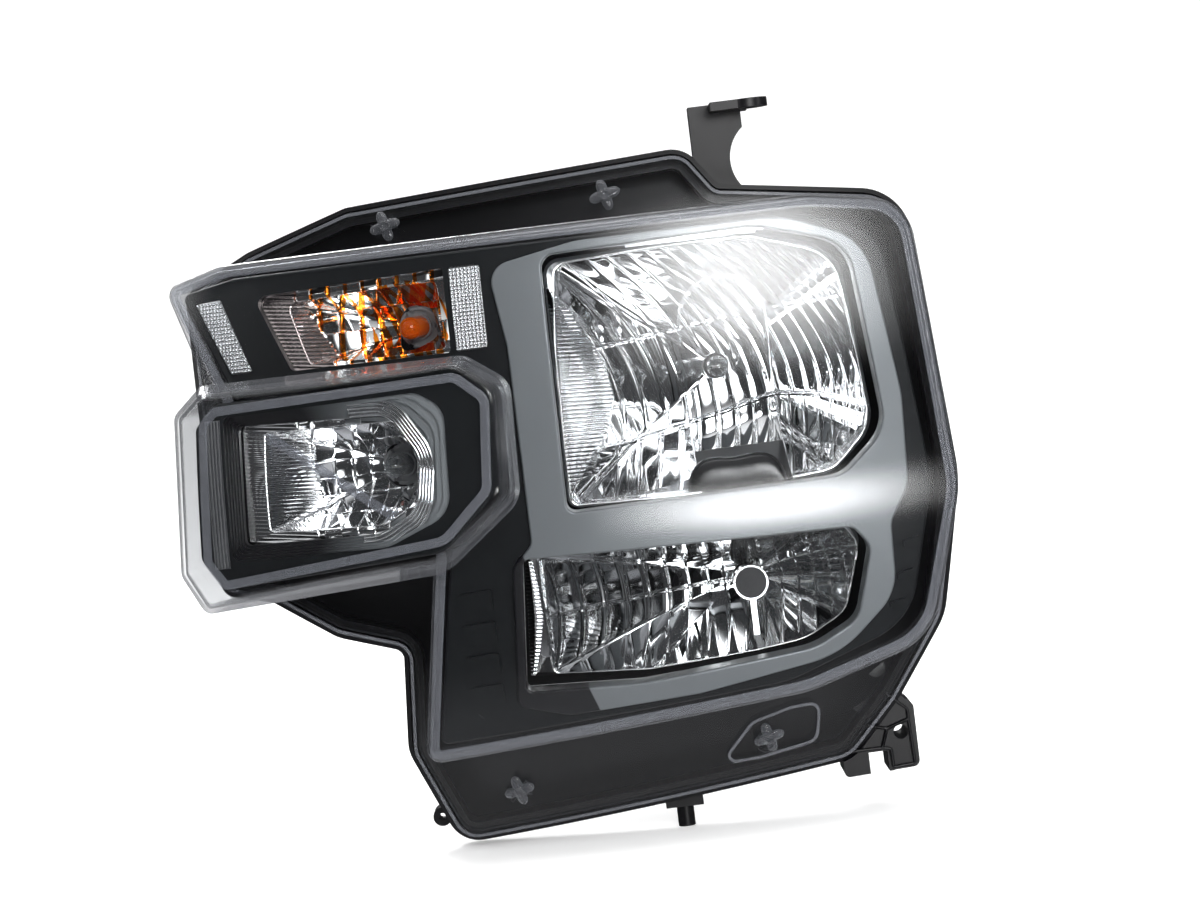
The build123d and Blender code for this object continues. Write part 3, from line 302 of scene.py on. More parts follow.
class Finish(Nodes):
    """Nodes of one new material, placed by the object's own coordinates."""

    def __init__(self, name):
        self.material = bpy.data.materials.new(name)
        self.material.use_nodes = True
        super().__init__(self.material.node_tree)
        self.tree.nodes.clear()
        self.place = self.node("ShaderNodeTexCoord").outputs["Object"]

    def noise(self, scale, detail=3.0):
        return self.node("ShaderNodeTexNoise", Vector=self.place, Scale=scale, Detail=detail,
                         Roughness=0.55).outputs["Fac"]

    def tint(self, share, first, second):
        """Mix of two colours, each a plain colour or another node's output."""
        mix = self.tree.nodes.new("ShaderNodeMix")
        mix.data_type = "RGBA"
        factor, colour_a, colour_b = mix.inputs[0], mix.inputs[6], mix.inputs[7]
        self.feed(factor, share)
        for socket, colour in ((colour_a, first), (colour_b, second)):
            self.feed(socket, (*colour, 1) if isinstance(colour, tuple) else colour)
        return mix.outputs[2]

    def past(self, direction, point, soft):
        """0 before the plane through a point, 1 past it, changing over soft metres each way."""
        level = float(row(point) @ np.array(direction))
        along = self.node("ShaderNodeVectorMath", self.place, direction, operation="DOT_PRODUCT")
        return self.node("ShaderNodeMapRange", Value=along.outputs["Value"], From_Min=level - soft,
                         From_Max=level + soft).outputs[0]

    def done(self, shader):
        self.node("ShaderNodeOutputMaterial", Surface=shader.outputs[0])
        return self.material


# scales of the noises shared by the opaque finishes, and the depth of their grain in metres
BLOTCH = 28.0
UNEVEN_GLOSS = 120.0
GRAIN_DEPTH = 0.00006
# how much clear plastic mirrors seen square on and edge on
SLANT_MIRROR = (0.02, 0.6)


def shade(colour, amount):
    return tuple(min(1, c * amount) for c in colour)


def solid(name, colour, rough, metal=0.0, grain=900.0, bump=0.15, spread=0.12, coat=0.0, vary=0.15,
          shine=0.5):
    """Plastic, paint, rubber or metal with its own grain, mottling and uneven gloss."""
    finish = Finish(name)
    base = finish.tint(finish.noise(BLOTCH, 2.0), shade(colour, 1 - vary), shade(colour, 1 + vary))
    gloss = finish.between(finish.noise(UNEVEN_GLOSS), rough * (1 - spread), rough * (1 + spread))
    surface = finish.node("ShaderNodeBsdfPrincipled", Base_Color=base, Roughness=gloss, Metallic=metal,
                          Specular_IOR_Level=shine)
    if bump:
        fine = finish.noise(grain, 4.0)
        relief = finish.node("ShaderNodeBump", Height=fine, Strength=bump, Distance=GRAIN_DEPTH)
        finish.feed(surface.inputs["Normal"], relief.outputs[0])
    if coat:
        surface.inputs["Coat Weight"].default_value = coat
        surface.inputs["Coat Roughness"].default_value = 0.06
    return finish.done(surface)


def clear(name, colour, gloss_rough, haze, body_colour, edge=0.4, deep=0.62):
    """Clear plastic or glass: light goes straight through, darker and more mirrored at a slant."""
    finish = Finish(name)
    slant = finish.node("ShaderNodeLayerWeight", Blend=0.5).outputs["Facing"]
    thick = finish.tint(finish.math("POWER", slant, 1.6), colour, shade(colour, deep))
    through = finish.node("ShaderNodeBsdfTransparent", Color=thick)
    fog = finish.node("ShaderNodeBsdfDiffuse", Color=(*body_colour, 1))
    murk = finish.between(finish.math("POWER", slant, 3.0), haze, haze + edge)
    sheen = finish.node("ShaderNodeBsdfGlossy", Roughness=gloss_rough, Color=(1, 1, 1, 1))
    mirror = finish.between(finish.math("POWER", slant, 4.0), *SLANT_MIRROR)
    return finish.done(finish.mix_shader(mirror, finish.mix_shader(murk, through, fog), sheen))


def two_tone(finish, mask, black, greys, rough, metal, shine):
    """Satin grey paint where the mask is 1, black plastic where it is 0."""
    grey = finish.tint(finish.noise(BLOTCH, 2.0), *greys)
    gloss = finish.between(finish.noise(UNEVEN_GLOSS), *rough)
    return finish.done(finish.node("ShaderNodeBsdfPrincipled", Base_Color=finish.tint(mask, black, grey),
                                   Roughness=gloss, Metallic=metal, Specular_IOR_Level=shine))


def ring_finish():
    """Satin grey at the bulb end of the marker's ring, fading to black at its outboard end."""
    finish = Finish("ring_grey")
    inboard = finish.past((math.cos(CELL_TURN), math.sin(CELL_TURN), 0.0), (0.0, DOME_Y, 0.0), 0.02)
    greys = ((0.19, 0.203, 0.212), (0.21, 0.225, 0.235))
    return two_tone(finish, inboard, (0.018, 0.018, 0.02), greys, (0.3, 0.4), 0.3, 0.3)


def bezel_finish():
    """Satin grey paint, masked to black beside and under the outboard end of the lower window."""
    finish = Finish("bezel_grey")
    inboard = finish.past((1.0, 0.0, 0.35), (-91.0, 0.0, -50.0), 0.0004)
    above = finish.past((0.0, 0.0, 1.0), (0.0, 0.0, -52.0), 0.0004)
    greys = ((0.15, 0.161, 0.169), (0.17, 0.183, 0.191))
    painted = finish.math("MAXIMUM", inboard, above)
    return two_tone(finish, painted, (0.012, 0.012, 0.014), greys, (0.32, 0.4), 0.35, 0.5)


SHIELD_FRONT = 8.0
SHIELD_PAINT_R = 0.009


def shield_finish():
    """Chrome cup whose front disc is painted dark inside a bright rim."""
    finish = Finish("shield_chrome")
    chrome = finish.node("ShaderNodeBsdfPrincipled", Base_Color=(0.42, 0.425, 0.43, 1), Metallic=1.0,
                         Roughness=0.12)
    dark = finish.tint(finish.noise(60.0), (0.02, 0.02, 0.022), (0.032, 0.032, 0.035))
    paint = finish.node("ShaderNodeBsdfPrincipled", Base_Color=dark, Roughness=0.4, Specular_IOR_Level=0.3)
    middle = tuple(row([LOWER_AXIS[0], SHIELD_FRONT, LOWER_AXIS[1]]))
    away = finish.node("ShaderNodeVectorMath", finish.place, middle, operation="DISTANCE")
    inside = finish.math("LESS_THAN", away.outputs["Value"], SHIELD_PAINT_R)
    return finish.done(finish.mix_shader(inside, chrome, paint))


FINISHES = {
    "black_housing": solid("black_housing", (0.006, 0.006, 0.007), 0.33, bump=0.012, grain=700, shine=0.22),
    "clear_lens": clear("clear_lens", (0.985, 0.99, 0.995), 0.075, 0.0, (0.3, 0.31, 0.34), 0.5, 0.45),
    "sealant": solid("sealant", (0.016, 0.016, 0.017), 0.7, bump=0.5, grain=500),
    "satin_black": solid("satin_black", (0.008, 0.009, 0.01), 0.34, bump=0.004, grain=420, vary=0.1,
                         shine=0.2),
    "satin_grey": solid("satin_grey", (0.16, 0.172, 0.18), 0.36, metal=0.35, bump=0.004, grain=420,
                        vary=0.06),
    "gloss_black": solid("gloss_black", (0.007, 0.007, 0.008), 0.22, bump=0, coat=0.15, shine=0.3),
    "chrome": solid("chrome", (0.9, 0.905, 0.91), 0.045, metal=1.0, bump=0, vary=0.02, spread=0.3),
    "reflex_silver": solid("reflex_silver", (0.6, 0.61, 0.62), 0.12, metal=0.95, bump=0.1, vary=0.06),
    "steel": solid("steel", (0.55, 0.55, 0.56), 0.3, metal=1.0, bump=0.2, grain=1800),
    "rubber": solid("rubber", (0.018, 0.018, 0.018), 0.75, bump=0.45, grain=700),
    "carrier_plastic": solid("carrier_plastic", (0.05, 0.052, 0.055), 0.5, bump=0.3),
    "acetal": solid("acetal", (0.72, 0.71, 0.67), 0.42, bump=0.1),
    "bulb_plastic": solid("bulb_plastic", (0.03, 0.03, 0.032), 0.4, bump=0.25),
    "socket_grey": solid("socket_grey", (0.16, 0.165, 0.17), 0.45, bump=0.25),
    "clear_glass": clear("clear_glass", (0.96, 0.97, 0.975), 0.02, 0.02, (0.6, 0.62, 0.64)),
    "amber_glass": clear("amber_glass", (1.0, 0.36, 0.03), 0.03, 0.25, (0.95, 0.22, 0.01)),
    "tungsten": solid("tungsten", (0.35, 0.34, 0.33), 0.35, metal=1.0),
    "brass": solid("brass", (0.78, 0.57, 0.26), 0.28, metal=1.0),
}
CHROME = FINISHES["chrome"]
# chrome coloured amber: a painted reflection of the amber turn bulb, not a tint of the reflector
PAINTED_AMBER_GLINT = solid("painted_amber_glint", (0.95, 0.27, 0.02), 0.08, metal=1.0, bump=0.1, grain=160, vary=0.2)
DULL_CHROME = solid("dull_chrome", (0.5, 0.44, 0.43), 0.2, metal=1.0, bump=0.1, grain=400, vary=0.1)
LENS_RIBS = clear("lens_ribs", (0.86, 0.87, 0.89), 0.2, 0.16, (0.4, 0.41, 0.45))
BOSS_CLEAR = clear("boss_clear", (0.85, 0.86, 0.88), 0.1, 0.07, (0.5, 0.51, 0.55), 0.6, 0.5)
DARK_GREY = solid("dark_grey", (0.055, 0.057, 0.06), 0.4, bump=0.1, grain=900)
STEP_SILVER = solid("step_silver", (0.62, 0.63, 0.64), 0.14, metal=1.0, bump=0, vary=0.05)
NODE_FINISHES = {"bulb_shield": shield_finish(), "marker_ring": ring_finish(), "grey_bezel": bezel_finish()}

for part in frame["record"]["subparts"]:
    node = frame["nodes"][part["node"]]
    node.data.materials.clear()
    node.data.materials.append(NODE_FINISHES.get(part["node"], FINISHES[part["material_slot"]]))


# ---------------------------------------------------------------- the two main reflectors
BOWL_BACK = 59.0
BOWL_DEPTH = 91.0
BOWL_WALL = 1.8
BOWL_GROW = 3.0
BOWL_SPOKES, BOWL_RINGS = 1200, 160
BULB_HOLE = 7.4
RIM_R = 656.0
FLUTE_DEPTH = 0.3
JOIN_LIFT = 0.35
JOIN_WIDTH = 0.08
# the arch over the upper bulb, cut deeper than the bowl round it
ARCH_X = 40.0
ARCH_HALF = 26.0
ARCH_SPRING = 62.0
ARCH_DEPTH = 30.0
# the stepped line across the upper bowl, below which its flutes are set forward
STEP_X = [-60, -45, -19, 37, 66, 90, 127]
STEP_Z = [-5, -3, -2, 8, 15, 13, 0]
# two slanting creases of the upper bowl, by their height at the lens axis
CREASES = (-45, 58)


def bowl(x, z, share, depth=BOWL_DEPTH):
    """The smooth bowl, held behind the bezel's back, and how free it is of that limit."""
    raw = BOWL_BACK - depth * share**2
    rim = DOME_Y + dome(RIM_R, x, z)
    return np.maximum(raw, rim), smooth((raw - rim) / 4.0)


def flutes(phase, free):
    """Wide, nearly flat upright flutes with a thin raised line on each join."""
    return free * (FLUTE_DEPTH * cusps(phase) - JOIN_LIFT * ridges(phase, JOIN_WIDTH))


def upper_bowl(x, z, share):
    """Depth of the upper reflector: bowed flutes, a stepped line, and a deep arch over the bulb."""
    step = np.interp(x, STEP_X, STEP_Z)
    above = smooth((z - step) / 1.2 + 0.5)
    bend = x + 0.0056 * (z - 12) ** 2 * np.where(z > 12, 1.0, 0.7)
    phase = flute_phase(bend, [-60, 30, 70, 110], [13, 12, 8.5, 6.2])
    y, free = bowl(x, z, share)
    y = y + above * flutes(phase, free) + (1 - above) * flutes(phase + 0.37, free)
    y += free * (1 - above) * np.clip(0.16 * (step - z), 0, 4.5)

    from_arch = np.hypot(x - ARCH_X, np.maximum(z - ARCH_SPRING, 0))
    deep, arch_free = bowl(x, z, share, ARCH_DEPTH)
    deep = deep - 3.0 * np.clip(from_arch / ARCH_HALF, 0, 1) ** 2
    deep = deep + 2.6 * flutes(phase + 0.5, arch_free) + 2.5 * (1 - above) * smooth((step - z) / 12)
    y = y + smooth((ARCH_HALF - from_arch) / 1.8) * np.maximum(deep - y, 0)

    y -= free * 1.1 * crest(z - step, 0.9)
    for crease in CREASES:
        y -= free * 0.35 * crest(z - crease - 0.1 * x, 0.7)
    return np.minimum(BOWL_BACK + 0.6, y)


def lower_bowl(x, z, share):
    """Depth of the lower reflector: bowed flutes, with a nearly level step at the bulb."""
    step = -92.5 + 0.02 * x
    above = smooth((z - step) / 1.0 + 0.5)
    bend = x + 0.006 * (z + 92) ** 2
    phase = flute_phase(bend, [-90, 20, 60, 100], [13.6, 11.5, 9.5, 7]) + 0.1
    y, free = bowl(x, z, share)
    y = y + flutes(phase, free)
    y += free * above * np.clip(0.1 * (z - step), 0, 3)
    y -= free * 0.5 * crest(z - step, 0.7)
    return y


def main_reflector(name, window, axis, depth, node):
    """Fluted reflector that stands for a plain one."""
    x, z, share = bowl_grid(window, BOWL_GROW, axis, BULB_HOLE, BOWL_SPOKES, BOWL_RINGS)
    y = depth(x, z, share)
    back = on_main(x, y + BOWL_WALL, z)
    piece = plate(name, on_main(x, y, z), back, True, "reflectors", [CHROME])
    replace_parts(piece, node)


main_reflector("upper_reflector_fluted", UPPER_WINDOW, UPPER_AXIS, upper_bowl, "upper_reflector")
main_reflector("lower_reflector_fluted", LOWER_WINDOW, LOWER_AXIS, lower_bowl, "lower_reflector")

HOOD_MIDDLE = 35.0
HOOD_HALF = 29.5
HOOD_FOOT = -42.0
HOOD_RISE = 28.0
HOOD_FRONT = -23.0
HOOD_DEPTH = 24.0
HOOD_WALL = 1.6


def hood():
    """Black cap over the foot of the bulb: a rounded hump with a level front edge."""
    across = np.linspace(-1, 1, 61)[:, None]
    back = np.linspace(0, 1, 40)[None, :]
    up = np.minimum(1, back / 0.45)
    x = HOOD_MIDDLE + HOOD_HALF * across + 0 * back
    rise = HOOD_RISE * (1 - np.abs(across) ** 5) ** 0.5 * (1 - 0.04 * crest(across, 0.3))
    z = HOOD_FOOT + rise * up**0.8 - 3.0 * smooth((back - 0.5) / 0.5)
    y = HOOD_FRONT + 4.0 * up**3 + 0 * across
    y = y + HOOD_DEPTH * smooth((back - 0.3) / 0.7) * smooth((back - 0.3) / 0.35)
    return plate("reflector_hood_hump", on_main(x, y, z), on_main(x, y + HOOD_WALL, z - HOOD_WALL), False,
                 "reflectors", [FINISHES["gloss_black"]])


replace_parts(hood(), "reflector_hood")


def share_at(window, axis, x, z):
    """How far out a point lies on the way from the axis to the grown window."""
    distance = np.hypot(x - axis[0], z - axis[1])
    angles = np.arctan2(z - axis[1], x - axis[0]).ravel()
    far = reach(rounded(window), axis, angles) + BOWL_GROW
    return distance / far.reshape(distance.shape)


PANEL_LIFT = 1.2
PANEL_FLUTE = 0.45
PANEL_HOLLOW = 2.2


def fluted_panel(name, window, axis, heights, lefts, rights, pitch):
    """Raised panel of fine, nearly level flutes beside a main bowl."""
    z = np.linspace(heights[0], heights[-1], 420)[:, None]
    left = np.interp(z, heights, lefts)
    right = np.interp(z, heights, rights)
    x = left + (right - left) * np.linspace(0, 1, 30)[None, :]
    z = z + 0 * x
    across = smooth((x - left) / np.maximum(right - left, 1))
    y = bowl(x, z, share_at(window, axis, x, z))[0] - PANEL_LIFT
    y = y + PANEL_FLUTE * cusps((z + 0.1 * x) / pitch) - PANEL_HOLLOW * across * (1 - across)
    back = on_main(x, y + PANEL_LIFT + 0.6, z)
    plate(name, on_main(x, y, z), back, False, "reflectors", [CHROME])


fluted_panel("upper_fluted_panel", UPPER_WINDOW, UPPER_AXIS, [-24, -5, 8, 25, 47, 77, 92],
             [-59] * 7, [-57, -44, -33, -28, -31, -46, -57], 2.3)
fluted_panel("lower_fluted_panel", LOWER_WINDOW, LOWER_AXIS, [-126, -110, -93, -75, -60],
             [-94.5, -93.5, -92, -91, -90], [-92, -87, -83.5, -84, -86], 2.2)


# ---------------------------------------------------------------- turn and marker reflectors
SOCKET_HOLE = 12.3
CELL_WALL = 1.6
CELL_GROW = 1.0
CELL_SPOKES, CELL_RINGS = 900, 110
# distance from the dome's centre at the axis and at the window, and the radius of the rim that limits it
TURN_DEPTHS = (-640, -690)
TURN_RIM_R = 679
MARKER_DEPTHS = (-657, -712)
MARKER_RIM_R = 697
# width and height of one faceted block
TURN_BLOCK = (10.2, 11.6)
MARKER_BLOCK = (9.6, 9.8)
# slanting line between flutes and blocks: two heights, and its x at each
TURN_DIVIDE = ((63, 103), (-8, -29))
MARKER_DIVIDE = ((-33, 7), (-23, -29))
# share of each block, and radius round the bulb, that carry the painted amber reflection of the bulb
AMBER_GLINT_SHARE = 0.24
AMBER_GLINT_R = 27


def block_tilt(column, level, start):
    """Even spread of small tilts, one for each block of a grid."""
    value = np.sin(column * 12.9898 + level * 78.233 + start) * 43758.5453
    return (value - np.floor(value)) * 2 - 1


def cell_bowl(window, axis, depths, rim, block, divide):
    """Grid of a corner reflector: tilted blocks inboard of the divide, fine level flutes outboard of it."""
    x, z, share = bowl_grid(window, CELL_GROW, axis, SOCKET_HOLE, CELL_SPOKES, CELL_RINGS)
    away = np.maximum(depths[0] + (depths[1] - depths[0]) * share**2, dome(rim, x, z))
    inboard = x > np.interp(z, *divide)
    column, level = np.floor(x / block[0]), np.floor(z / block[1])
    blocks = 0.3 * (cusps(x / block[0]) + cusps(z / block[1]))
    blocks += 2.4 * (x / block[0] - column - 0.5) * block_tilt(column, level, 1.0)
    blocks += 2.6 * (z / block[1] - level - 0.5) * block_tilt(column, level, 4.0)
    fine = 0.5 * cusps((z + 0.12 * x) / 2.2) + 0.5 * np.sin(x / 9.0)
    away = away + smooth((1.0 - share) / 0.05) * np.where(inboard, blocks, fine)
    return x, away, z, inboard


def cell_reflector(name, node, x, away, z, materials, index=None):
    """Faceted reflector that stands for a plain one."""
    piece = plate(name, on_cell(x, away, z), on_cell(x, away + CELL_WALL, z), True, "housing",
                  materials, index)
    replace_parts(piece, node)


def turn_reflector():
    """Chrome blocks with a painted amber reflection of the bulb on one side of each and round the bulb,
    beside a dull fluted end.
    """
    x, away, z, inboard = cell_bowl(TURN_WINDOW, TURN_AXIS, TURN_DEPTHS, TURN_RIM_R, TURN_BLOCK, TURN_DIVIDE)
    column_part = x / TURN_BLOCK[0] - np.floor(x / TURN_BLOCK[0])
    near_bulb = np.hypot(x - TURN_AXIS[0], z - TURN_AXIS[1]) < AMBER_GLINT_R
    # painted amber reflection of the bulb on one side of each block and in streaks round the bulb
    amber_glint = (column_part < AMBER_GLINT_SHARE) | (near_bulb & (np.sin(x * 0.9 + z * 0.35) > 0.1))
    index = np.where(inboard, np.where(amber_glint, 1, 0), 2)
    materials = [CHROME, PAINTED_AMBER_GLINT, DULL_CHROME]
    cell_reflector("turn_reflector_faceted", "turn_reflector", x, away, z, materials, index[:, :-1])


def marker_reflector():
    """Chrome blocks round the bulb, beside a fluted end."""
    x, away, z, _ = cell_bowl(MARKER_WINDOW, MARKER_AXIS, MARKER_DEPTHS, MARKER_RIM_R, MARKER_BLOCK,
                              MARKER_DIVIDE)
    cell_reflector("marker_reflector_faceted", "marker_reflector", x, away, z, [CHROME])


turn_reflector()
marker_reflector()


# ---------------------------------------------------------------- patches laid on the domes
STUDS_R = 683.4
STUD_PITCH = 2.1
GROOVES_R = 714.15
STEPS_R = 704.2
STEPS_CONE = 0.62
STEP_PITCH = 2.12
SKIRT_R = 662.0
FACE_BAND_R = 695.2
BULGE_BAND_R = 720.4
BAND_PITCH = 2.2
BEAD_PITCH = 60
STAR_WAIST = 4.4
STAR_LOBE = 4.6
STAR_CORE = 2.4


def studs(name, left, right, heights):
    """Field of small pyramids on a slanted strip; left and right are x at its lower and upper end."""
    z = np.linspace(heights[0], heights[1], 240)[:, None]
    up = (z - heights[0]) / (heights[1] - heights[0])
    left_x = left[0] + (left[1] - left[0]) * up
    right_x = right[0] + (right[1] - right[0]) * up
    x = left_x + (right_x - left_x) * np.linspace(0, 1, 100)[None, :]
    z = z + 0 * x
    bumps = np.sqrt(np.clip(cusps(x / STUD_PITCH) * cusps(z / STUD_PITCH), 0, 1))
    front = on_cell(x, dome(STUDS_R + 0.15, x, z) - 1.1 * bumps, z)
    back = on_cell(x, dome(STUDS_R - 0.2, x, z), z)
    plate(name, front, back, False, "housing", [FINISHES["reflex_silver"]])


studs("reflex_studs_inner", (64.5, 63.5), (81.5, 80.5), (63.8, 109.2))
studs("reflex_studs_outer", (-70.5, -89.5), (-57.5, -74.5), (65.8, 106.8))


def groove_strip():
    """Upright grooves on the outboard end of the corner bezel."""
    z = np.linspace(-42, 41, 60)[:, None]
    slant = (z + 42) / 83
    x = -82.5 + 5 * slant + np.linspace(0, 9.5, 120)[None, :]
    z = z + 0 * x
    front = on_cell(x, dome(GROOVES_R, x, z) - 0.55 * cusps(x * 0.5 - 2.5 * slant), z)
    back = on_cell(x, dome(GROOVES_R - 0.75, x, z), z)
    plate("marker_bezel_grooves", front, back, False, "housing", [DARK_GREY])


def ring_steps():
    """Bright concentric steps round the bulb end of the marker window."""
    line, normal, _ = even(rounded(MARKER_WINDOW, 12), 0.6)
    keep = np.flatnonzero(line[:, 0] > 6)
    gaps = np.flatnonzero(np.diff(keep) > 1)
    first = keep[gaps[0] + 1] if len(gaps) else keep[0]
    order = np.r_[keep[keep >= first], keep[keep < first]]
    outwards = np.linspace(0.4, 11.0, 90)
    x, z = beside(line[order], normal[order], outwards)
    rise = 0.8 * cusps(outwards / STEP_PITCH)[None, :] + 0 * x
    radius = STEPS_R + STEPS_CONE * outwards[None, :]
    front = on_cell(x, dome(radius, x, z) - rise, z)
    back = on_cell(x, dome(radius - 0.7, x, z), z)
    plate("marker_ring_steps", front, back, False, "housing", [STEP_SILVER])


groove_strip()
ring_steps()


def star(number, x0, z0):
    """Lobed clear boss moulded on the lens skirt."""
    turn = np.linspace(0, 2 * math.pi, 180, endpoint=False)[:, None]
    out = np.linspace(0.02, 1, 24)[None, :]
    radius = out * (STAR_WAIST + STAR_LOBE * np.abs(np.cos(2 * (turn - 0.25))) ** 1.6)
    x = x0 + radius * np.cos(turn)
    z = z0 + radius * np.sin(turn)
    rise = 1.9 * (1 - out**6) + 1.3 * crest(radius / STAR_CORE - 1, 0.35)
    front = on_main_dome(x, dome(SKIRT_R + 0.3, x, z) - rise, z)
    back = on_main_dome(x, dome(SKIRT_R - 0.2, x, z), z)
    plate("lens_star_%d" % number, front, back, True, "housing", [BOSS_CLEAR])


for number, place in enumerate(STARS):
    star(number, *place)


def ribbon(name, corners, inset, radius, place, pitch):
    """Clear ribbed band just inside an edge of the lens."""
    line, normal, along = even(rounded(corners, 10), 0.55)
    inwards = np.linspace(inset[0], inset[1], 9)
    x, z = beside(line, normal, -inwards)
    rib = 0.3 * cusps((along[:, None] + 0.8 * inwards[None, :]) / pitch)
    front = place(x, dome(radius, x, z) - rib, z)
    back = place(x, dome(radius - 0.8, x, z), z)
    plate(name, front, back, True, "housing", [LENS_RIBS])


ribbon("lens_pad_bead", PAD, (0.0, 1.7), SKIRT_R + 0.7, on_main_dome, BEAD_PITCH)
ribbon("lens_foot_bead", FOOT, (0.2, 2.0), SKIRT_R + 0.5, on_main_dome, BEAD_PITCH)
ribbon("lens_band", FACE, (1.5, 7.0), FACE_BAND_R, on_main_dome, BAND_PITCH)
ribbon("bulge_band", BULGE_FRONT, (1.5, 6.5), BULGE_BAND_R, on_cell, BAND_PITCH)

# ---------------------------------------------------------------- ribs of the lower bracket
BRACKET_FRONT = 12.0
RIB_HEIGHT = 2.4
RIB_HALF = 0.9


def pocket_rib(name, corners):
    """Raised rib round one pocket of the lower bracket's front."""
    line, normal, _ = even(rounded(corners), 0.5)
    outwards = np.linspace(-RIB_HALF, RIB_HALF, 7)
    x, z = beside(line, normal, outwards)
    front = on_main(x, BRACKET_FRONT - RIB_HEIGHT + 0.5 * outwards[None, :] ** 2 + 0 * x, z)
    back = on_main(x, BRACKET_FRONT + 0.3 + 0 * x, z)
    plate(name, front, back, True, "housing", [FINISHES["black_housing"]])


for number, pocket in enumerate(BRACKET_POCKETS):
    pocket_rib("lower_bracket_rib_%d" % number, pocket)


# ---------------------------------------------------------------- floor, light and camera, in metres
SWEEP_START = 1.4
SWEEP_R = 0.9
# height up the sky from 0 at the bottom to 1 at the top, brightness, and how much bluer than grey it is
SKY = ((0.0, 0.7, 1.0), (0.21, 0.6, 1.04), (0.29, 0.06, 1.04), (0.53, 0.035, 1.04), (0.72, 0.06, 1.04),
       (0.87, 1.2, 1.0))
MIDDLE = (-0.12, -0.06, -0.18)
# place, width, height and watts
SOFTBOXES = {
    "top": ((-0.1, -0.5, 1.35), 1.8, 1.0, 34),
    "key": ((0.29, -1.5, 0.28), 1.25, 0.8, 72),
    "low": ((0.27, -1.45, -0.5), 1.4, 0.2, 24),
    "left": ((-1.5, -0.7, 0.2), 0.5, 1.4, 14),
    "right": ((1.4, -0.7, 0.1), 0.5, 1.4, 14),
    "rear": ((-0.5, 1.5, 0.9), 1.6, 1.0, 110),
}
CAMERA_PLACE = (-0.108, -1.6279, -0.1015)
CAMERA_DIP = math.radians(3)
CAMERA_ROLL = math.radians(7)


def floor():
    """Pale floor that sweeps up behind the object."""
    low = cad_low[2]
    turns = np.linspace(0, math.pi / 2, 24)
    sweep = [(SWEEP_START + SWEEP_R * math.sin(t), low + SWEEP_R * (1 - math.cos(t))) for t in turns]
    profile = [(-0.62, low)] + sweep + [(SWEEP_START + SWEEP_R, 5.0)]
    points = [(x, y, z) for y, z in profile for x in (-6.0, 6.0)]
    faces = [(2 * i, 2 * i + 1, 2 * i + 3, 2 * i + 2) for i in range(len(profile) - 1)]
    mesh = bpy.data.meshes.new("backdrop")
    mesh.from_pydata(points, [], faces)
    mesh.polygons.foreach_set("use_smooth", [True] * len(faces))
    backdrop = bpy.data.objects.new("backdrop", mesh)
    bpy.context.scene.collection.objects.link(backdrop)
    finish = Finish("backdrop")
    paint = finish.node("ShaderNodeBsdfPrincipled", Base_Color=(0.9, 0.9, 0.9, 1), Roughness=0.9,
                        Emission_Color=(1, 1, 1, 1), Emission_Strength=0.3)
    mesh.materials.append(finish.done(paint))
    backdrop.visible_glossy = False


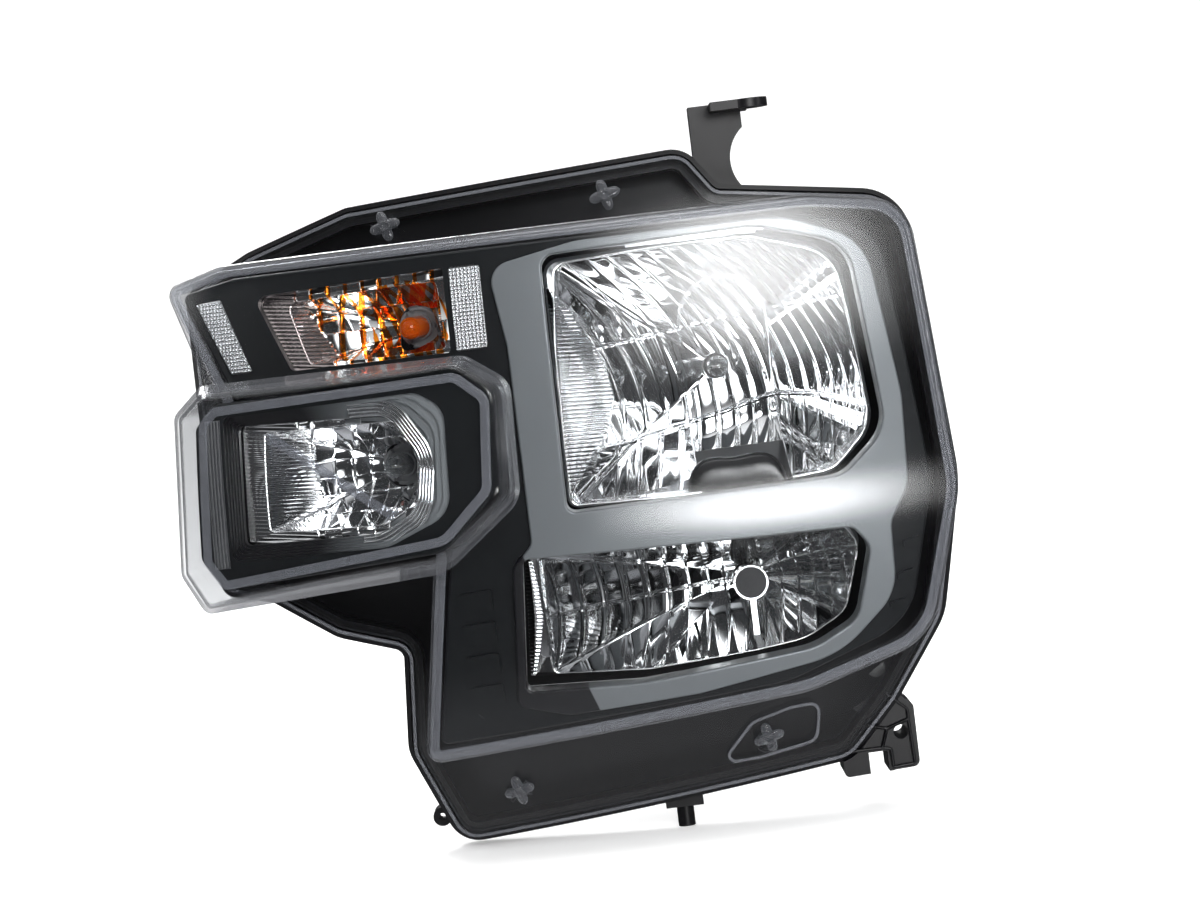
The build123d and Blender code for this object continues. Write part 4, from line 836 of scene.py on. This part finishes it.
def world():
    """Sky that is bright overhead, dark round the horizon, and plain where the camera sees it."""
    sky = bpy.data.worlds.new("studio")
    bpy.context.scene.world = sky
    sky.use_nodes = True
    sky.node_tree.nodes.clear()
    nodes = Nodes(sky.node_tree)
    direction = nodes.node("ShaderNodeTexCoord").outputs["Generated"]
    height = nodes.node("ShaderNodeSeparateXYZ", direction).outputs["Z"]
    level = nodes.node("ShaderNodeMapRange", Value=height, From_Min=-1.0).outputs[0]
    ramp = nodes.node("ShaderNodeValToRGB", level)
    stops = ramp.color_ramp.elements
    stops.remove(stops[-1])
    for at, value, blue in SKY:
        stop = stops.new(at) if at else stops[0]
        stop.color = (value, value, blue * value, 1)
    lit = nodes.node("ShaderNodeBackground", ramp.outputs[0])
    plain = nodes.node("ShaderNodeBackground", (0.93, 0.93, 0.93, 1))
    straight = nodes.node("ShaderNodeLightPath").outputs["Is Camera Ray"]
    nodes.node("ShaderNodeOutputWorld", nodes.mix_shader(straight, lit, plain).outputs[0])


def softbox(name, place, width, height, power):
    """Area light aimed at the middle of the object, fading towards its own edges."""
    light = bpy.data.lights.new(name, "AREA")
    light.shape = "RECTANGLE"
    light.size = width
    light.size_y = height
    light.energy = power
    lamp = bpy.data.objects.new(name, light)
    bpy.context.scene.collection.objects.link(lamp)
    place = Vector(place)
    look = (Vector(MIDDLE) - place).to_track_quat("-Z", "Y")
    lamp.matrix_world = Matrix.Translation(place) @ look.to_matrix().to_4x4()
    light.use_nodes = True
    nodes = Nodes(light.node_tree)
    glow = next(node for node in light.node_tree.nodes if node.type == "EMISSION")
    over_light = nodes.node("ShaderNodeNewGeometry").outputs["Parametric"]
    sides = nodes.node("ShaderNodeSeparateXYZ", over_light).outputs
    fades = [nodes.math("POWER", nodes.math("SINE", nodes.math("MULTIPLY", sides[axis], math.pi)), 2.0)
             for axis in ("X", "Y")]
    nodes.feed(glow.inputs["Strength"], nodes.math("MULTIPLY", *fades))


def camera():
    """Camera in front and a little above, rolled about its own line of sight."""
    data = bpy.data.cameras.new("camera")
    data.lens = 85
    data.sensor_width = 36
    data.clip_start = 0.05
    viewer = bpy.data.objects.new("camera", data)
    bpy.context.scene.collection.objects.link(viewer)
    forward = Vector((0, math.cos(CAMERA_DIP), -math.sin(CAMERA_DIP)))
    level_right = Vector((1, 0, 0))
    level_up = Vector((0, math.sin(CAMERA_DIP), math.cos(CAMERA_DIP)))
    right = math.cos(CAMERA_ROLL) * level_right - math.sin(CAMERA_ROLL) * level_up
    up = math.sin(CAMERA_ROLL) * level_right + math.cos(CAMERA_ROLL) * level_up
    pose = Matrix((right, up, -forward)).transposed().to_4x4()
    pose.translation = Vector(CAMERA_PLACE)
    viewer.matrix_world = pose
    bpy.context.scene.camera = viewer


floor()
world()
for light_name, (light_place, light_width, light_height, watts) in SOFTBOXES.items():
    softbox(light_name, light_place, light_width, light_height, watts)
camera()
bpy.context.scene.view_settings.view_transform = "Standard"
